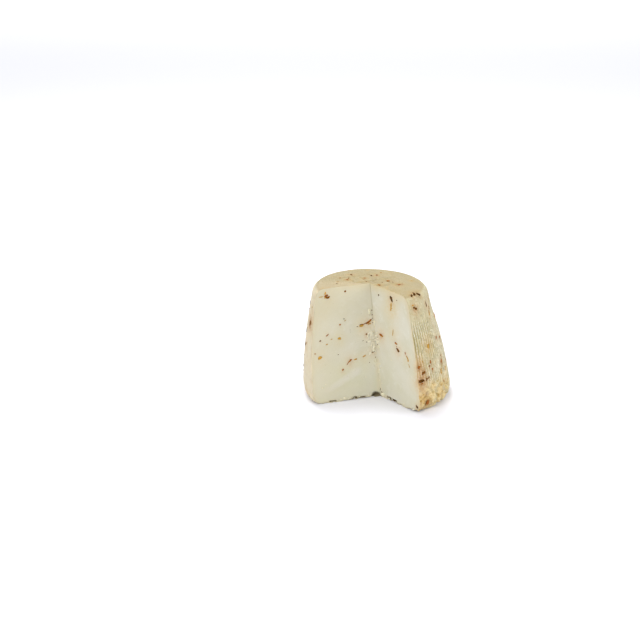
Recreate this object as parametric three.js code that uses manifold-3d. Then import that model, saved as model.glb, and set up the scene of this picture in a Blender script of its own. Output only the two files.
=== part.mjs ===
// A piece of spicy sheep cheese, cut from a wheel that drained in a tapered ribbed basket.
// It stands on the wide end. Two knife cuts meet in an upright valley and leave about
// seven tenths of the wheel. Chilli flakes stand a little proud of every side.
// Millimetres, +Z up. The origin is the middle of the outer box, on the table.

import * as THREE from 'three';
import { mergeVertices } from 'three/addons/utils/BufferGeometryUtils.js';
import Module from 'manifold-3d';

const wasm = await Module();
wasm.setup();

// The wheel: a tapered round with a belly, which leans a little to one side.
const HEIGHT = 125;
const FOOT_RADIUS = 82.6;
const CAP_RADIUS = 59.8;
const BELLY = 3.5;
const FOOT_ROUNDING = 13;
const CAP_ROUNDING = 11;
const CAP_ARC_START = 11.5;
const RIM_STEPS = 3;
const HAND_WAVES = [{ waves: 2, deep: 0.6, start: 0.6 }, { waves: 3, deep: 0.4, start: 2.1 }];
const CAP_CROWN = 0.6;
const CROWN_RADIUS = 38;
const LEAN = new THREE.Vector2(-10.5, -2);
const WHEEL_PLACE = new THREE.Vector2(0.4, -6.3);

// The foot is fuller beside the left cut: the way round, how far that spreads in degrees, how far
// it stands out at the bottom and up to which height. The side has sagged in one place.
const FULL_FOOT = { round: 203, spread: 34, out: 6.5, up: 13 };
const SAG = { round: 350, up: 95, reach: 30, deep: 3 };

// The basket's print: upright ribs on the side and a brick lattice on the narrow end.
const RIB_COUNT = 124;
const RIB_DEPTH = 0.7;
const RIB_FOOT = [15, 27];
const RIB_HEAD = [100, 113];
const LATTICE_ROW = 21;
const LATTICE_BRICK = 14;
const LATTICE_TURN = 24;
const LATTICE_SHIFT = 0.35;
const LATTICE_RIM = 2;
const GROOVE_WIDTH = 2.2;
const GROOVE_DEPTH = 1;

// The two cuts, given by the valley's foot and head and by the way each cut runs outwards.
const VALLEY_FOOT = new THREE.Vector2(3.2, -20.5);
const VALLEY_HEAD = new THREE.Vector2(-9.6, -3.4);
const LEFT_CUT = 198.4;
const RIGHT_CUT = 308.8;
const CUT_REACH = 220;
const CUT_MARGIN = 12;

// Flakes: how deep a flake sits, how far it stands out, and how much its top draws in.
const FLAKE_SUNK = 0.9;
const FLAKE_PROUD = 0.45;
const FLAKE_BEVEL = 0.72;
const FLAKE_SIDES = 5;

// Flakes on the sides that no eye has counted: how many, where, how long and how slim.
const BACK_FLAKES = { count: 46, round: [2, 190], up: [10, 112], long: [2.8, 6.4], slim: [0.35, 0.7] };
const CROWN_FLAKES = { count: 7, round: [-30, 185], long: [2.8, 5], slim: [0.4, 0.7] };

// Flakes that show on the cuts: distance out from the valley, height, length, width and turn.
// A positive turn lifts the flake's right end, for someone who faces it.
const LEFT_FLAKES = [
  { out: 50.9, up: 116, long: 5.6, wide: 2.8, turn: 5 },
  { out: 51.8, up: 120, long: 3.6, wide: 3, turn: 20 },
  { out: 29.3, up: 120, long: 2.8, wide: 2.4, turn: 30 },
  { out: 38.9, up: 84.5, long: 2.6, wide: 1.8, turn: 10 },
  { out: 14.9, up: 80.5, long: 4.2, wide: 1.9, turn: 0 },
  { out: 5.9, up: 84, long: 7.5, wide: 2.2, turn: 30 },
  { out: 54.5, up: 74.7, long: 4.6, wide: 1.3, turn: 38 },
  { out: 9.7, up: 70.7, long: 2.6, wide: 2, turn: 0 },
  { out: 41.1, up: 69.7, long: 4.4, wide: 3, turn: 10 },
  { out: 63.1, up: 69.3, long: 2.4, wide: 1.6, turn: 20 },
  { out: 65.4, up: 51.1, long: 5, wide: 3.8, turn: 15 },
  { out: 31.5, up: 43.7, long: 6.6, wide: 1.9, turn: 35 },
  { out: 25, up: 44.7, long: 3.8, wide: 2, turn: 20 },
  { out: 40.7, up: 34.9, long: 3, wide: 1.9, turn: 50 },
];
const RIGHT_FLAKES = [
  { out: 12.6, up: 116, long: 2.4, wide: 2, turn: 60 },
  { out: 32.9, up: 116.8, long: 8, wide: 3.4, turn: -55 },
  { out: 10.5, up: 71.4, long: 5.2, wide: 3.2, turn: -10 },
  { out: 34.1, up: 69.1, long: 5, wide: 2.4, turn: -27 },
  { out: 36.3, up: 62.6, long: 6, wide: 2.2, turn: -35 },
  { out: 50.7, up: 57.8, long: 6.4, wide: 1.6, turn: -55 },
];

// Flakes that show on the side beside the cuts: the way round, height, length, width and turn.
const RIND_FLAKES = [
  { round: 197, up: 87, long: 6.4, wide: 3.4, turn: 75 },
  { round: 187, up: 75, long: 7, wide: 2, turn: 80 },
  { round: 316, up: 112, long: 6.4, wide: 3, turn: -50 },
  { round: 337, up: 110, long: 6.8, wide: 2.6, turn: -82 },
  { round: 350, up: 112, long: 4.4, wide: 2.4, turn: -65 },
  { round: 346, up: 103, long: 4, wide: 2, turn: 80 },
  { round: 338, up: 73, long: 2.8, wide: 1.8, turn: 20 },
  { round: 347, up: 69, long: 3.2, wide: 2, turn: 40 },
  { round: 321.5, up: 69.5, long: 5.4, wide: 4.2, turn: 70 },
  { round: 320, up: 52.5, long: 4, wide: 2.4, turn: 80 },
  { round: 337, up: 46.5, long: 4.6, wide: 3, turn: 80 },
  { round: 306.5, up: 51.5, long: 4.4, wide: 3.2, turn: 30 },
  { round: 321, up: 44.5, long: 3, wide: 2, turn: 0 },
  { round: 310.4, up: 44.3, long: 6, wide: 3.2, turn: 10 },
  { round: 333, up: 37, long: 6, wide: 2, turn: 75 },
  { round: 306.8, up: 36.2, long: 9, wide: 3.8, turn: 3 },
  { round: 314, up: 36.8, long: 7, wide: 1.6, turn: 22 },
  { round: 328, up: 16, long: 5, wide: 3.4, turn: 40 },
  { round: 310.5, up: 10.5, long: 5.4, wide: 3.6, turn: 80 },
];

// Places where the foot broke away: distance out from the valley, width, height and depth.
const FOOT_BITES = [
  { cut: LEFT_CUT, out: 27, wide: 9, high: 1.8, deep: 6 },
  { cut: LEFT_CUT, out: 54.5, wide: 8, high: 1.5, deep: 5 },
  { cut: RIGHT_CUT, out: 18, wide: 18, high: 3.4, deep: 12 },
  { cut: RIGHT_CUT, out: 58, wide: 30, high: 6, deep: 26 },
];
const FOOT_HOLLOW = { out: 4, radius: 6.5, high: 7, sides: 5, sunk: 1 };

// The torn part of the valley: how many crumbs and pits, over which heights, how large and how far out.
// Their depth and height and how deep they sit are shares of their size.
const TEAR = {
  count: 14, up: [22, 96], size: [2.4, 4.6], out: [0.5, 4], depth: 0.8, height: 1.6, sunk: 0.15,
};
const GOLDEN_SHARE = 0.618034;

const UP = new THREE.Vector3(0, 0, 1);

// A seeded draw between two values, the same on every run.
const DRAW_STEP = 16807;
const DRAW_RANGE = 2147483647;
let drawState = 20731;

function draw([low, high]) {
  drawState = (drawState * DRAW_STEP) % DRAW_RANGE;
  return low + (high - low) * (drawState / DRAW_RANGE);
}

// A value that walks evenly and out of order through a range, so that neighbours never bunch.
function golden(index, [low, high]) {
  return low + (high - low) * ((index * GOLDEN_SHARE) % 1);
}

function radians(degrees) {
  return THREE.MathUtils.degToRad(degrees);
}

function smooth(value, low, high) {
  return THREE.MathUtils.smoothstep(value, low, high);
}

// The side's radius at a height: a straight taper and a belly.
function sideRadius(z) {
  const share = z / HEIGHT;
  return FOOT_RADIUS + (CAP_RADIUS - FOOT_RADIUS) * share + BELLY * 4 * share * (1 - share);
}

// The slow unevenness of a wheel that was pressed by hand, as an addition to the radius.
function unevenness(angle) {
  return HAND_WAVES.reduce((sum, { waves, deep, start }) => sum + deep * Math.sin(waves * angle + start), 0);
}

// How far an angle in radians lies from a way round in degrees, in degrees.
function turnBetween(angle, round) {
  const away = Math.abs(THREE.MathUtils.radToDeg(angle) - round) % 360;
  return Math.min(away, 360 - away);
}

// The fuller foot less the sag, as an addition to the radius.
function handMarks(angle, z) {
  const near = 1 - smooth(turnBetween(angle, FULL_FOOT.round), 0, FULL_FOOT.spread);
  const low = Math.max(1 - z / FULL_FOOT.up, 0);
  const along = radians(turnBetween(angle, SAG.round)) * sideRadius(z);
  const away = Math.hypot(along, z - SAG.up);
  return FULL_FOOT.out * near * low * low - SAG.deep * (1 - smooth(away, 0, SAG.reach));
}

// How strongly the ribs show at a height: they fade before both rims.
function ribStrength(z) {
  return smooth(z, RIB_FOOT[0], RIB_FOOT[1]) * (1 - smooth(z, RIB_HEAD[0], RIB_HEAD[1]));
}

// Closed solids for joining and cutting, from any three.js geometry.
function toSolid(geometry) {
  const bare = geometry.clone();
  bare.deleteAttribute('normal');
  bare.deleteAttribute('uv');
  const merged = mergeVertices(bare, 1e-4);
  const corners = merged.index.array;
  const kept = [];
  for (let i = 0; i < corners.length; i += 3) {
    const [a, b, c] = [corners[i], corners[i + 1], corners[i + 2]];
    if (a !== b && b !== c && c !== a) {
      kept.push(a, b, c);
    }
  }
  const mesh = new wasm.Mesh({
    numProp: 3,
    vertProperties: new Float32Array(merged.attributes.position.array),
    triVerts: new Uint32Array(kept),
  });
  return new wasm.Manifold(mesh);
}

function toGeometry(solid) {
  const mesh = solid.getMesh();
  const geometry = new THREE.BufferGeometry();
  geometry.setAttribute('position', new THREE.BufferAttribute(mesh.vertProperties, 3));
  geometry.setIndex(new THREE.BufferAttribute(mesh.triVerts, 1));
  return geometry;
}

// The arc of a rounded rim in the wheel's section, between two turns in degrees.
function rimArc(height, rounding, from, to) {
  const centre = sideRadius(height) - rounding;
  const points = [];
  for (let i = 0; i <= RIM_STEPS; i += 1) {
    const turn = radians(from + ((to - from) * i) / RIM_STEPS);
    points.push(new THREE.Vector2(centre + rounding * Math.cos(turn), height + rounding * Math.sin(turn)));
  }
  return points;
}

// Half the wheel's section, from the middle of the foot to the middle of the cap.
function wheelSection() {
  const ribHeights = [RIB_FOOT[1], (RIB_FOOT[1] + RIB_HEAD[0]) / 2, RIB_HEAD[0]];
  return [
    new THREE.Vector2(0, 0),
    ...rimArc(FOOT_ROUNDING, FOOT_ROUNDING, -90, 0),
    ...ribHeights.map((z) => new THREE.Vector2(sideRadius(z), z)),
    ...rimArc(HEIGHT - CAP_ROUNDING, CAP_ROUNDING, CAP_ARC_START, 90),
    new THREE.Vector2(CROWN_RADIUS, HEIGHT + CAP_CROWN),
    new THREE.Vector2(0, HEIGHT + CAP_CROWN),
  ];
}

// The whole wheel with its ribs, belly and lean.
function wheel() {
  const columns = RIB_COUNT * 2;
  const geometry = new THREE.LatheGeometry(wheelSection(), columns);
  geometry.rotateX(Math.PI / 2);
  const place = geometry.attributes.position;
  for (let i = 0; i < place.count; i += 1) {
    const z = place.getZ(i);
    const radius = Math.hypot(place.getX(i), place.getY(i));
    const angle = Math.atan2(place.getY(i), place.getX(i));
    const column = Math.round((angle / (2 * Math.PI)) * columns);
    const groove = column % 2 === 0 ? 0 : RIB_DEPTH * ribStrength(z);
    const onRim = radius / sideRadius(z);
    const marks = onRim > 0.5 ? handMarks(angle, z) : 0;
    const grown = radius + (unevenness(angle) - groove) * onRim * onRim + marks;
    const lean = z / HEIGHT;
    place.setXYZ(i, grown * Math.cos(angle) + LEAN.x * lean, grown * Math.sin(angle) + LEAN.y * lean, z);
  }
  return toSolid(geometry);
}

// A point of the valley at a height.
function valleyAt(z) {
  const place = VALLEY_FOOT.clone().lerp(VALLEY_HEAD, z / HEIGHT);
  return new THREE.Vector3(place.x, place.y, z);
}

// The level direction in which a cut runs out from the valley.
function cutWay(cut) {
  return new THREE.Vector2(Math.cos(radians(cut)), Math.sin(radians(cut)));
}

// The space that the two cuts opened, a three-sided prism that leans with the valley.
function notch() {
  const outline = new THREE.Shape([
    new THREE.Vector2(0, 0),
    cutWay(LEFT_CUT).multiplyScalar(CUT_REACH),
    cutWay(RIGHT_CUT).multiplyScalar(CUT_REACH),
  ]);
  const geometry = new THREE.ExtrudeGeometry(outline, {
    depth: HEIGHT + 2 * CUT_MARGIN,
    bevelEnabled: false,
  });
  geometry.translate(0, 0, -CUT_MARGIN);
  const place = geometry.attributes.position;
  for (let i = 0; i < place.count; i += 1) {
    const middle = valleyAt(place.getZ(i));
    place.setXY(i, place.getX(i) + middle.x, place.getY(i) + middle.y);
  }
  return toSolid(geometry);
}

// One groove of the lattice: a three-sided bar with an edge down and its middle on the crown.
function latticeGroove(middle, offset, length, across) {
  const barSides = 3;
  const widthAtMiddle = 2 / Math.sqrt(3);
  const geometry = new THREE.CylinderGeometry(1, 1, length, barSides);
  geometry.rotateZ(Math.PI / 2);
  geometry.rotateX(Math.PI);
  geometry.scale(1, GROOVE_WIDTH / widthAtMiddle, GROOVE_DEPTH);
  geometry.translate(middle, offset, HEIGHT + CAP_CROWN);
  geometry.rotateZ(radians(LATTICE_TURN + (across ? 90 : 0)));
  geometry.translate(LEAN.x, LEAN.y, 0);
  return toSolid(geometry);
}

// The basket's lattice on the narrow end: long rows, with short joints between them like bricks.
function latticeGrooves() {
  const grooves = [];
  const reach = CROWN_RADIUS - LATTICE_RIM;
  const rows = Math.ceil(reach / LATTICE_ROW);
  const bricks = Math.ceil(reach / LATTICE_BRICK);
  for (let row = -rows; row <= rows; row += 1) {
    const offset = (row + LATTICE_SHIFT) * LATTICE_ROW;
    if (Math.abs(offset) < reach) {
      grooves.push(latticeGroove(0, offset, 2 * Math.sqrt(reach ** 2 - offset ** 2), false));
    }
    const middle = offset + LATTICE_ROW / 2;
    for (let brick = -bricks; brick <= bricks; brick += 1) {
      const halfBrick = row % 2 === 0 ? 0 : 0.5;
      const side = (brick + halfBrick) * LATTICE_BRICK;
      if (Math.hypot(side, Math.abs(middle) + LATTICE_ROW / 2) < reach) {
        grooves.push(latticeGroove(middle, -side, LATTICE_ROW, true));
      }
    }
  }
  return grooves;
}

// The frame of a surface: where a point lies, which way is out and which way is level.
function cutFrame(cut, out, up) {
  const way = cutWay(cut);
  const level = new THREE.Vector3(way.x, way.y, 0);
  const rise = valleyAt(HEIGHT).sub(valleyAt(0)).normalize();
  const outward = new THREE.Vector3().crossVectors(level, rise).normalize();
  if (cut === LEFT_CUT) {
    outward.negate();
  }
  return { place: valleyAt(up).addScaledVector(level, out), outward, level };
}

// How far the rounded rims lie inside the straight side at a height.
function rimSink(z) {
  const below = Math.max(FOOT_ROUNDING - z, 0);
  const above = Math.max(z - (HEIGHT - CAP_ROUNDING), 0);
  const footSink = FOOT_ROUNDING - Math.sqrt(FOOT_ROUNDING ** 2 - below ** 2);
  return footSink + CAP_ROUNDING - Math.sqrt(CAP_ROUNDING ** 2 - above ** 2);
}

function rindPoint(round, z) {
  const angle = radians(round);
  const radius = sideRadius(z) + unevenness(angle) + handMarks(angle, z);
  const lean = z / HEIGHT;
  return new THREE.Vector3(
    radius * Math.cos(angle) + LEAN.x * lean,
    radius * Math.sin(angle) + LEAN.y * lean,
    z,
  );
}

function rindFrame(round, up) {
  const level = rindPoint(round + 0.5, up).sub(rindPoint(round - 0.5, up)).normalize();
  const rise = rindPoint(round, up + 0.5).sub(rindPoint(round, up - 0.5)).normalize();
  const outward = new THREE.Vector3().crossVectors(level, rise).normalize();
  return { place: rindPoint(round, up).addScaledVector(outward, -rimSink(up)), outward, level };
}

function crownFrame(radius, round) {
  const angle = radians(round);
  return {
    place: new THREE.Vector3(
      LEAN.x + radius * Math.cos(angle),
      LEAN.y + radius * Math.sin(angle),
      HEIGHT + CAP_CROWN,
    ),
    outward: UP.clone(),
    level: new THREE.Vector3(Math.cos(angle), Math.sin(angle), 0),
  };
}

// A flake: a thin bevelled plate that lies half sunk in the surface.
function flake(frame, long, wide, turn) {
  const thick = FLAKE_SUNK + FLAKE_PROUD;
  const geometry = new THREE.CylinderGeometry(FLAKE_BEVEL / 2, 0.5, thick, FLAKE_SIDES, 1);
  geometry.translate(0, thick / 2 - FLAKE_SUNK, 0);
  geometry.scale(long, 1, wide);
  geometry.rotateY(radians(turn));
  const side = new THREE.Vector3().crossVectors(frame.level, frame.outward);
  geometry.applyMatrix4(new THREE.Matrix4().makeBasis(frame.level, frame.outward, side));
  geometry.translate(frame.place.x, frame.place.y, frame.place.z);
  return toSolid(geometry);
}

// All the flakes: those placed by hand where they show, and an even seeded spread elsewhere.
function flakes() {
  const solids = [];
  for (const { out, up, long, wide, turn } of LEFT_FLAKES) {
    solids.push(flake(cutFrame(LEFT_CUT, out, up), long, wide, turn));
  }
  for (const { out, up, long, wide, turn } of RIGHT_FLAKES) {
    solids.push(flake(cutFrame(RIGHT_CUT, out, up), long, wide, turn));
  }
  for (const { round, up, long, wide, turn } of RIND_FLAKES) {
    solids.push(flake(rindFrame(round, up), long, wide, turn));
  }
  for (let i = 0; i < BACK_FLAKES.count; i += 1) {
    const [low, high] = BACK_FLAKES.up;
    const up = low + ((high - low) * (i + 0.5)) / BACK_FLAKES.count;
    const frame = rindFrame(golden(i, BACK_FLAKES.round), up);
    const long = draw(BACK_FLAKES.long);
    solids.push(flake(frame, long, long * draw(BACK_FLAKES.slim), draw([0, 180])));
  }
  for (let i = 0; i < CROWN_FLAKES.count; i += 1) {
    const radius = CROWN_RADIUS * Math.sqrt((i + 0.8) / (CROWN_FLAKES.count + 1));
    const long = draw(CROWN_FLAKES.long);
    const frame = crownFrame(radius, golden(i, CROWN_FLAKES.round));
    solids.push(flake(frame, long, long * draw(CROWN_FLAKES.slim), draw([0, 180])));
  }
  return solids;
}

// A rough lump, for a crumb that stands out or a bite that is missing.
function lump(place, wide, deep, high, turn) {
  const geometry = new THREE.IcosahedronGeometry(1, 0);
  geometry.scale(wide / 2, deep / 2, high / 2);
  geometry.rotateZ(radians(turn));
  geometry.translate(place.x, place.y, place.z);
  return toSolid(geometry);
}

// The hollow at the foot of the valley, a rough cone with its point up.
function footHollow() {
  const { out, radius, high, sides, sunk } = FOOT_HOLLOW;
  const { place } = cutFrame(LEFT_CUT, out, 0);
  const geometry = new THREE.ConeGeometry(radius, high + sunk, sides);
  geometry.rotateX(Math.PI / 2);
  geometry.rotateZ(-Math.PI / 2);
  geometry.translate(place.x, place.y, (high - sunk) / 2);
  return toSolid(geometry);
}

function footBites() {
  return FOOT_BITES.map(({ cut, out, wide, high, deep }) => {
    const { place } = cutFrame(cut, out, 0);
    return lump(place, wide, deep, high, cut);
  });
}

// The torn line of the valley: crumbs and pits in turn, up the part that broke instead of being cut.
function valleyCrumbs(missing) {
  const solids = [];
  for (let i = missing ? 0 : 1; i < TEAR.count; i += 2) {
    const [low, high] = TEAR.up;
    const size = draw(TEAR.size);
    const cut = draw([0, 1]) < 0.5 ? LEFT_CUT : RIGHT_CUT;
    const up = low + ((high - low) * (i + draw([0.1, 0.9]))) / TEAR.count;
    const { place, outward } = cutFrame(cut, draw(TEAR.out), up);
    place.addScaledVector(outward, -size * TEAR.sunk);
    solids.push(lump(place, size, size * TEAR.depth, size * TEAR.height, draw([0, 180])));
  }
  return solids;
}

function cheese() {
  let solid = wheel().subtract(notch());
  for (const crumb of valleyCrumbs(false)) {
    solid = solid.add(crumb);
  }
  const missing = [...latticeGrooves(), footHollow(), ...footBites(), ...valleyCrumbs(true)];
  for (const hole of missing) {
    solid = solid.subtract(hole);
  }
  for (const chip of flakes()) {
    solid = solid.add(chip);
  }
  const geometry = toGeometry(solid);
  geometry.translate(WHEEL_PLACE.x, WHEEL_PLACE.y, 0);
  const material = new THREE.MeshStandardMaterial({ color: 0xd6ceb2, roughness: 0.6, metalness: 0 });
  const mesh = new THREE.Mesh(geometry, material);
  mesh.name = 'cheese';
  return mesh;
}

const part = new THREE.Group();
part.add(cheese());

export default part;
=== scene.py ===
import sys
import logging
import math
from collections.abc import Callable, Sequence
from dataclasses import dataclass, field, fields
from enum import Enum

import bmesh
import bpy
import numpy as np
from mathutils import Matrix, Vector


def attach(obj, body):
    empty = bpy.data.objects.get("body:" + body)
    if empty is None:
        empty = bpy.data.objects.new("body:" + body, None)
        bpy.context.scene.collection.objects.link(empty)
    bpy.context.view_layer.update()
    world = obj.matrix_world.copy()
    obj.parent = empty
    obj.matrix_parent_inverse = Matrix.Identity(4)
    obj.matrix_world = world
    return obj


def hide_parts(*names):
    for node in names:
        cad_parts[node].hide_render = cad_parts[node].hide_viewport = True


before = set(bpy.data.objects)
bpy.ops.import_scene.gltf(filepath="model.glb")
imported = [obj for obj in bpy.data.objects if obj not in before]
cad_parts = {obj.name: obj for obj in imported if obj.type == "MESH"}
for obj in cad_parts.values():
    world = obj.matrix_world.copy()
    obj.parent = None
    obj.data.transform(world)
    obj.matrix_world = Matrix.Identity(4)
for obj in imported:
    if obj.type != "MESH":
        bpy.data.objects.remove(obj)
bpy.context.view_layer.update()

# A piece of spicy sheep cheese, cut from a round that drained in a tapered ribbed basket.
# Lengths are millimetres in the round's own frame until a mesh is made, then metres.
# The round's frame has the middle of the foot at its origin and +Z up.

Pair = tuple[float, float]
Triple = tuple[float, float, float]
Quad = tuple[float, float, float, float]
Row = tuple[np.ndarray, np.ndarray]

LOG = logging.getLogger("cheese")
MM = 0.001
FULL_TURN = 360.0
HALF_TURN = 180.0
FAR = 1000.0
TINY = 1e-9
UP = np.array([0.0, 0.0, 1.0])
FLAT = np.array([1.0, 1.0, 0.0])
GREY = (0.5, 0.5, 0.5)


class Part(Enum):
    """The parts of the surface. The two knife cuts go by the side of the valley that they lie on."""

    RIND = 0
    CAP = 1
    FOOT = 2
    LEFT = 3
    RIGHT = 4


CUTS = (Part.LEFT, Part.RIGHT)


class Hue(Enum):
    """The colours of the chilli flakes, as places on the ramp of their material."""

    DARK = 0.08
    BROWN = 0.28
    RED = 0.5
    AMBER = 0.72
    ORANGE = 0.92


DARK, BROWN, RED, AMBER, ORANGE = Hue


def smooth(value: np.ndarray, low: float, high: float) -> np.ndarray:
    """Eases values from nought at low to one at high."""
    share = np.clip((np.asarray(value, float) - low) / (high - low), 0.0, 1.0)
    return share * share * (3.0 - 2.0 * share)


def unit(vector: np.ndarray) -> np.ndarray:
    """Vectors of length one in the same directions."""
    length = np.linalg.norm(vector, axis=-1, keepdims=True)
    return vector / np.maximum(length, TINY)


def heading(degrees: float) -> np.ndarray:
    """The level direction at an angle."""
    angle = math.radians(degrees)
    return np.array([math.cos(angle), math.sin(angle), 0.0])


def raised(flat: np.ndarray, z: np.ndarray) -> np.ndarray:
    """Level places with their heights."""
    return np.concatenate([flat, np.asarray(z, float)[..., None]], -1)


def tint(tone: Triple) -> Quad:
    """A colour as a screen shows it, 0 to 255, in the renderer's linear numbers, with an alpha of one."""
    shares = [channel / 255.0 for channel in tone]
    return (*(s / 12.92 if s <= 0.04045 else ((s + 0.055) / 1.055) ** 2.4 for s in shares), 1.0)


def store(mesh: bpy.types.Mesh, name: str, values: object, kind: str = "value", on: str = "POINT") -> None:
    """Keeps a number, or a vector where the kind says so, for each point or face of a mesh."""
    data = mesh.attributes.new(name, "FLOAT" if kind == "value" else "FLOAT_VECTOR", on).data
    data.foreach_set(kind, np.asarray(values, np.float32).ravel())


def placed(name: str, data: bpy.types.ID) -> bpy.types.Object:
    """Puts a new object in the scene.

    Args:
        name: Its name.
        data: Its mesh, its light or its camera.

    Returns:
        The object.
    """
    made = bpy.data.objects.new(name, data)
    bpy.context.collection.objects.link(made)
    return made


def report(piece: bpy.types.Object) -> None:
    """Logs a piece's name and its count of triangles."""
    triangles = sum(len(face.vertices) - 2 for face in piece.data.polygons)
    LOG.info("%s: %d triangles", piece.name, triangles)


# Node trees


class Wire:
    """A socket's value in a node tree. Python's operators on it add Math or Vector Math nodes."""

    def __init__(self, graph: "Graph", socket: bpy.types.NodeSocket) -> None:
        """Keeps the tree and the socket."""
        self.graph = graph
        self.socket = socket

    @staticmethod
    def _is_vector(value: object) -> bool:
        """Whether a value is a vector or a colour."""
        kinds = {"VECTOR", "RGBA"}
        return isinstance(value, tuple) or (isinstance(value, Wire) and value.socket.type in kinds)

    def _join(self, operation: str, first: object, second: object) -> "Wire":
        """Adds one node for an operation on two values.

        Args:
            operation: The node's operation.
            first: The left value.
            second: The right value.

        Returns:
            The result.
        """
        vectors = [self._is_vector(first), self._is_vector(second)]
        if not any(vectors):
            return self.graph.math(operation, first, second)
        inputs = {0: first, 1: second}
        if operation == "MULTIPLY" and not all(vectors):
            operation = "SCALE"
            inputs = {0: first, "Scale": second} if vectors[0] else {0: second, "Scale": first}
        return self.graph.add("ShaderNodeVectorMath", inputs, operation=operation)

    def __add__(self, other: object) -> "Wire":
        """The sum."""
        return self._join("ADD", self, other)

    def __radd__(self, other: object) -> "Wire":
        """The sum, with a plain number first."""
        return self._join("ADD", other, self)

    def __sub__(self, other: object) -> "Wire":
        """The difference."""
        return self._join("SUBTRACT", self, other)

    def __rsub__(self, other: object) -> "Wire":
        """The difference, with a plain number first."""
        return self._join("SUBTRACT", other, self)

    def __mul__(self, other: object) -> "Wire":
        """The product."""
        return self._join("MULTIPLY", self, other)

    def __rmul__(self, other: object) -> "Wire":
        """The product, with a plain number first."""
        return self._join("MULTIPLY", other, self)

    def __pow__(self, power: float) -> "Wire":
        """The value raised to a power."""
        return self.graph.math("POWER", self, power)

    def highest(self, other: object) -> "Wire":
        """The larger of two values."""
        return self.graph.math("MAXIMUM", self, other)

    def lowest(self, other: object) -> "Wire":
        """The smaller of two values."""
        return self.graph.math("MINIMUM", self, other)

    def eased(self, low: float, high: float, start: float = 0.0, end: float = 1.0) -> "Wire":
        """Eases the value, from start where it is low or past it to end where it is high."""
        inputs = {"Value": self, "From Min": low, "From Max": high, "To Min": start, "To Max": end}
        return self.graph.add("ShaderNodeMapRange", inputs, interpolation_type="SMOOTHSTEP")


class Graph:
    """A node tree and the calls that fill it, for materials and for geometry alike."""

    def __init__(self, tree: bpy.types.NodeTree) -> None:
        """Empties the tree and keeps it."""
        self.tree = tree
        tree.nodes.clear()

    def add(self, kind: str, inputs: dict | None = None, key: str | None = None, **settings: object) -> Wire:
        """Adds a node.

        Args:
            kind: The node's type.
            inputs: Values or wires, by the socket's name or number.
            key: The name of the output to give, by default the first one in use.
            settings: The node's settings, which come first. Stops are a ramp's places and colours.

        Returns:
            The output, or nothing where the node has none.
        """
        node = self.tree.nodes.new(kind)
        for name, value in settings.items():
            if name == "stops":
                self._fill(node.color_ramp.elements, value)
            else:
                setattr(node, name, value)
        for label, value in (inputs or {}).items():
            named = [s for s in node.inputs if s.name == label and s.enabled]
            socket = named[0] if named else node.inputs[label]
            if isinstance(value, Wire):
                self.tree.links.new(value.socket, socket)
            else:
                socket.default_value = value
        outputs = [s for s in node.outputs if s.enabled and key in (None, s.name)]
        return Wire(self, outputs[0]) if outputs else None

    @staticmethod
    def _fill(elements: bpy.types.ColorRampElements, stops: Sequence[tuple[float, Quad]]) -> None:
        """Sets a ramp's stops.

        Args:
            elements: The ramp's stops as they are.
            stops: Places from nought to one and their colours.
        """
        while len(elements) < len(stops):
            elements.new(1.0)
        for element, (place, colour) in zip(elements, stops):
            element.position = place
            element.color = colour

    def math(self, operation: str, *values: object) -> Wire:
        """Adds a Math node."""
        return self.add("ShaderNodeMath", dict(enumerate(values)), operation=operation)

    def noise(
        self,
        place: Wire,
        scale: object,
        detail: float = 2.0,
        rough: float = 0.5,
        bent: float = 0.0,
        key: str = "Fac",
    ) -> Wire:
        """Adds a noise texture. Its key is Fac for a number and Color for a vector, both about one half."""
        inputs = {"Vector": place, "Scale": scale, "Detail": detail, "Roughness": rough, "Distortion": bent}
        return self.add("ShaderNodeTexNoise", inputs, key)

    def cells(self, place: Wire, scale: float, key: str = "Distance") -> Wire:
        """Adds a Voronoi texture, and gives the distance to a cell's middle or the cell's colour."""
        return self.add("ShaderNodeTexVoronoi", {"Vector": place, "Scale": scale, "Randomness": 1.0}, key)

    def parts(self, vector: Wire) -> list[Wire]:
        """The three numbers of a vector."""
        node = self.add("ShaderNodeSeparateXYZ", {0: vector}).socket.node
        return [Wire(self, socket) for socket in node.outputs]


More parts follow.
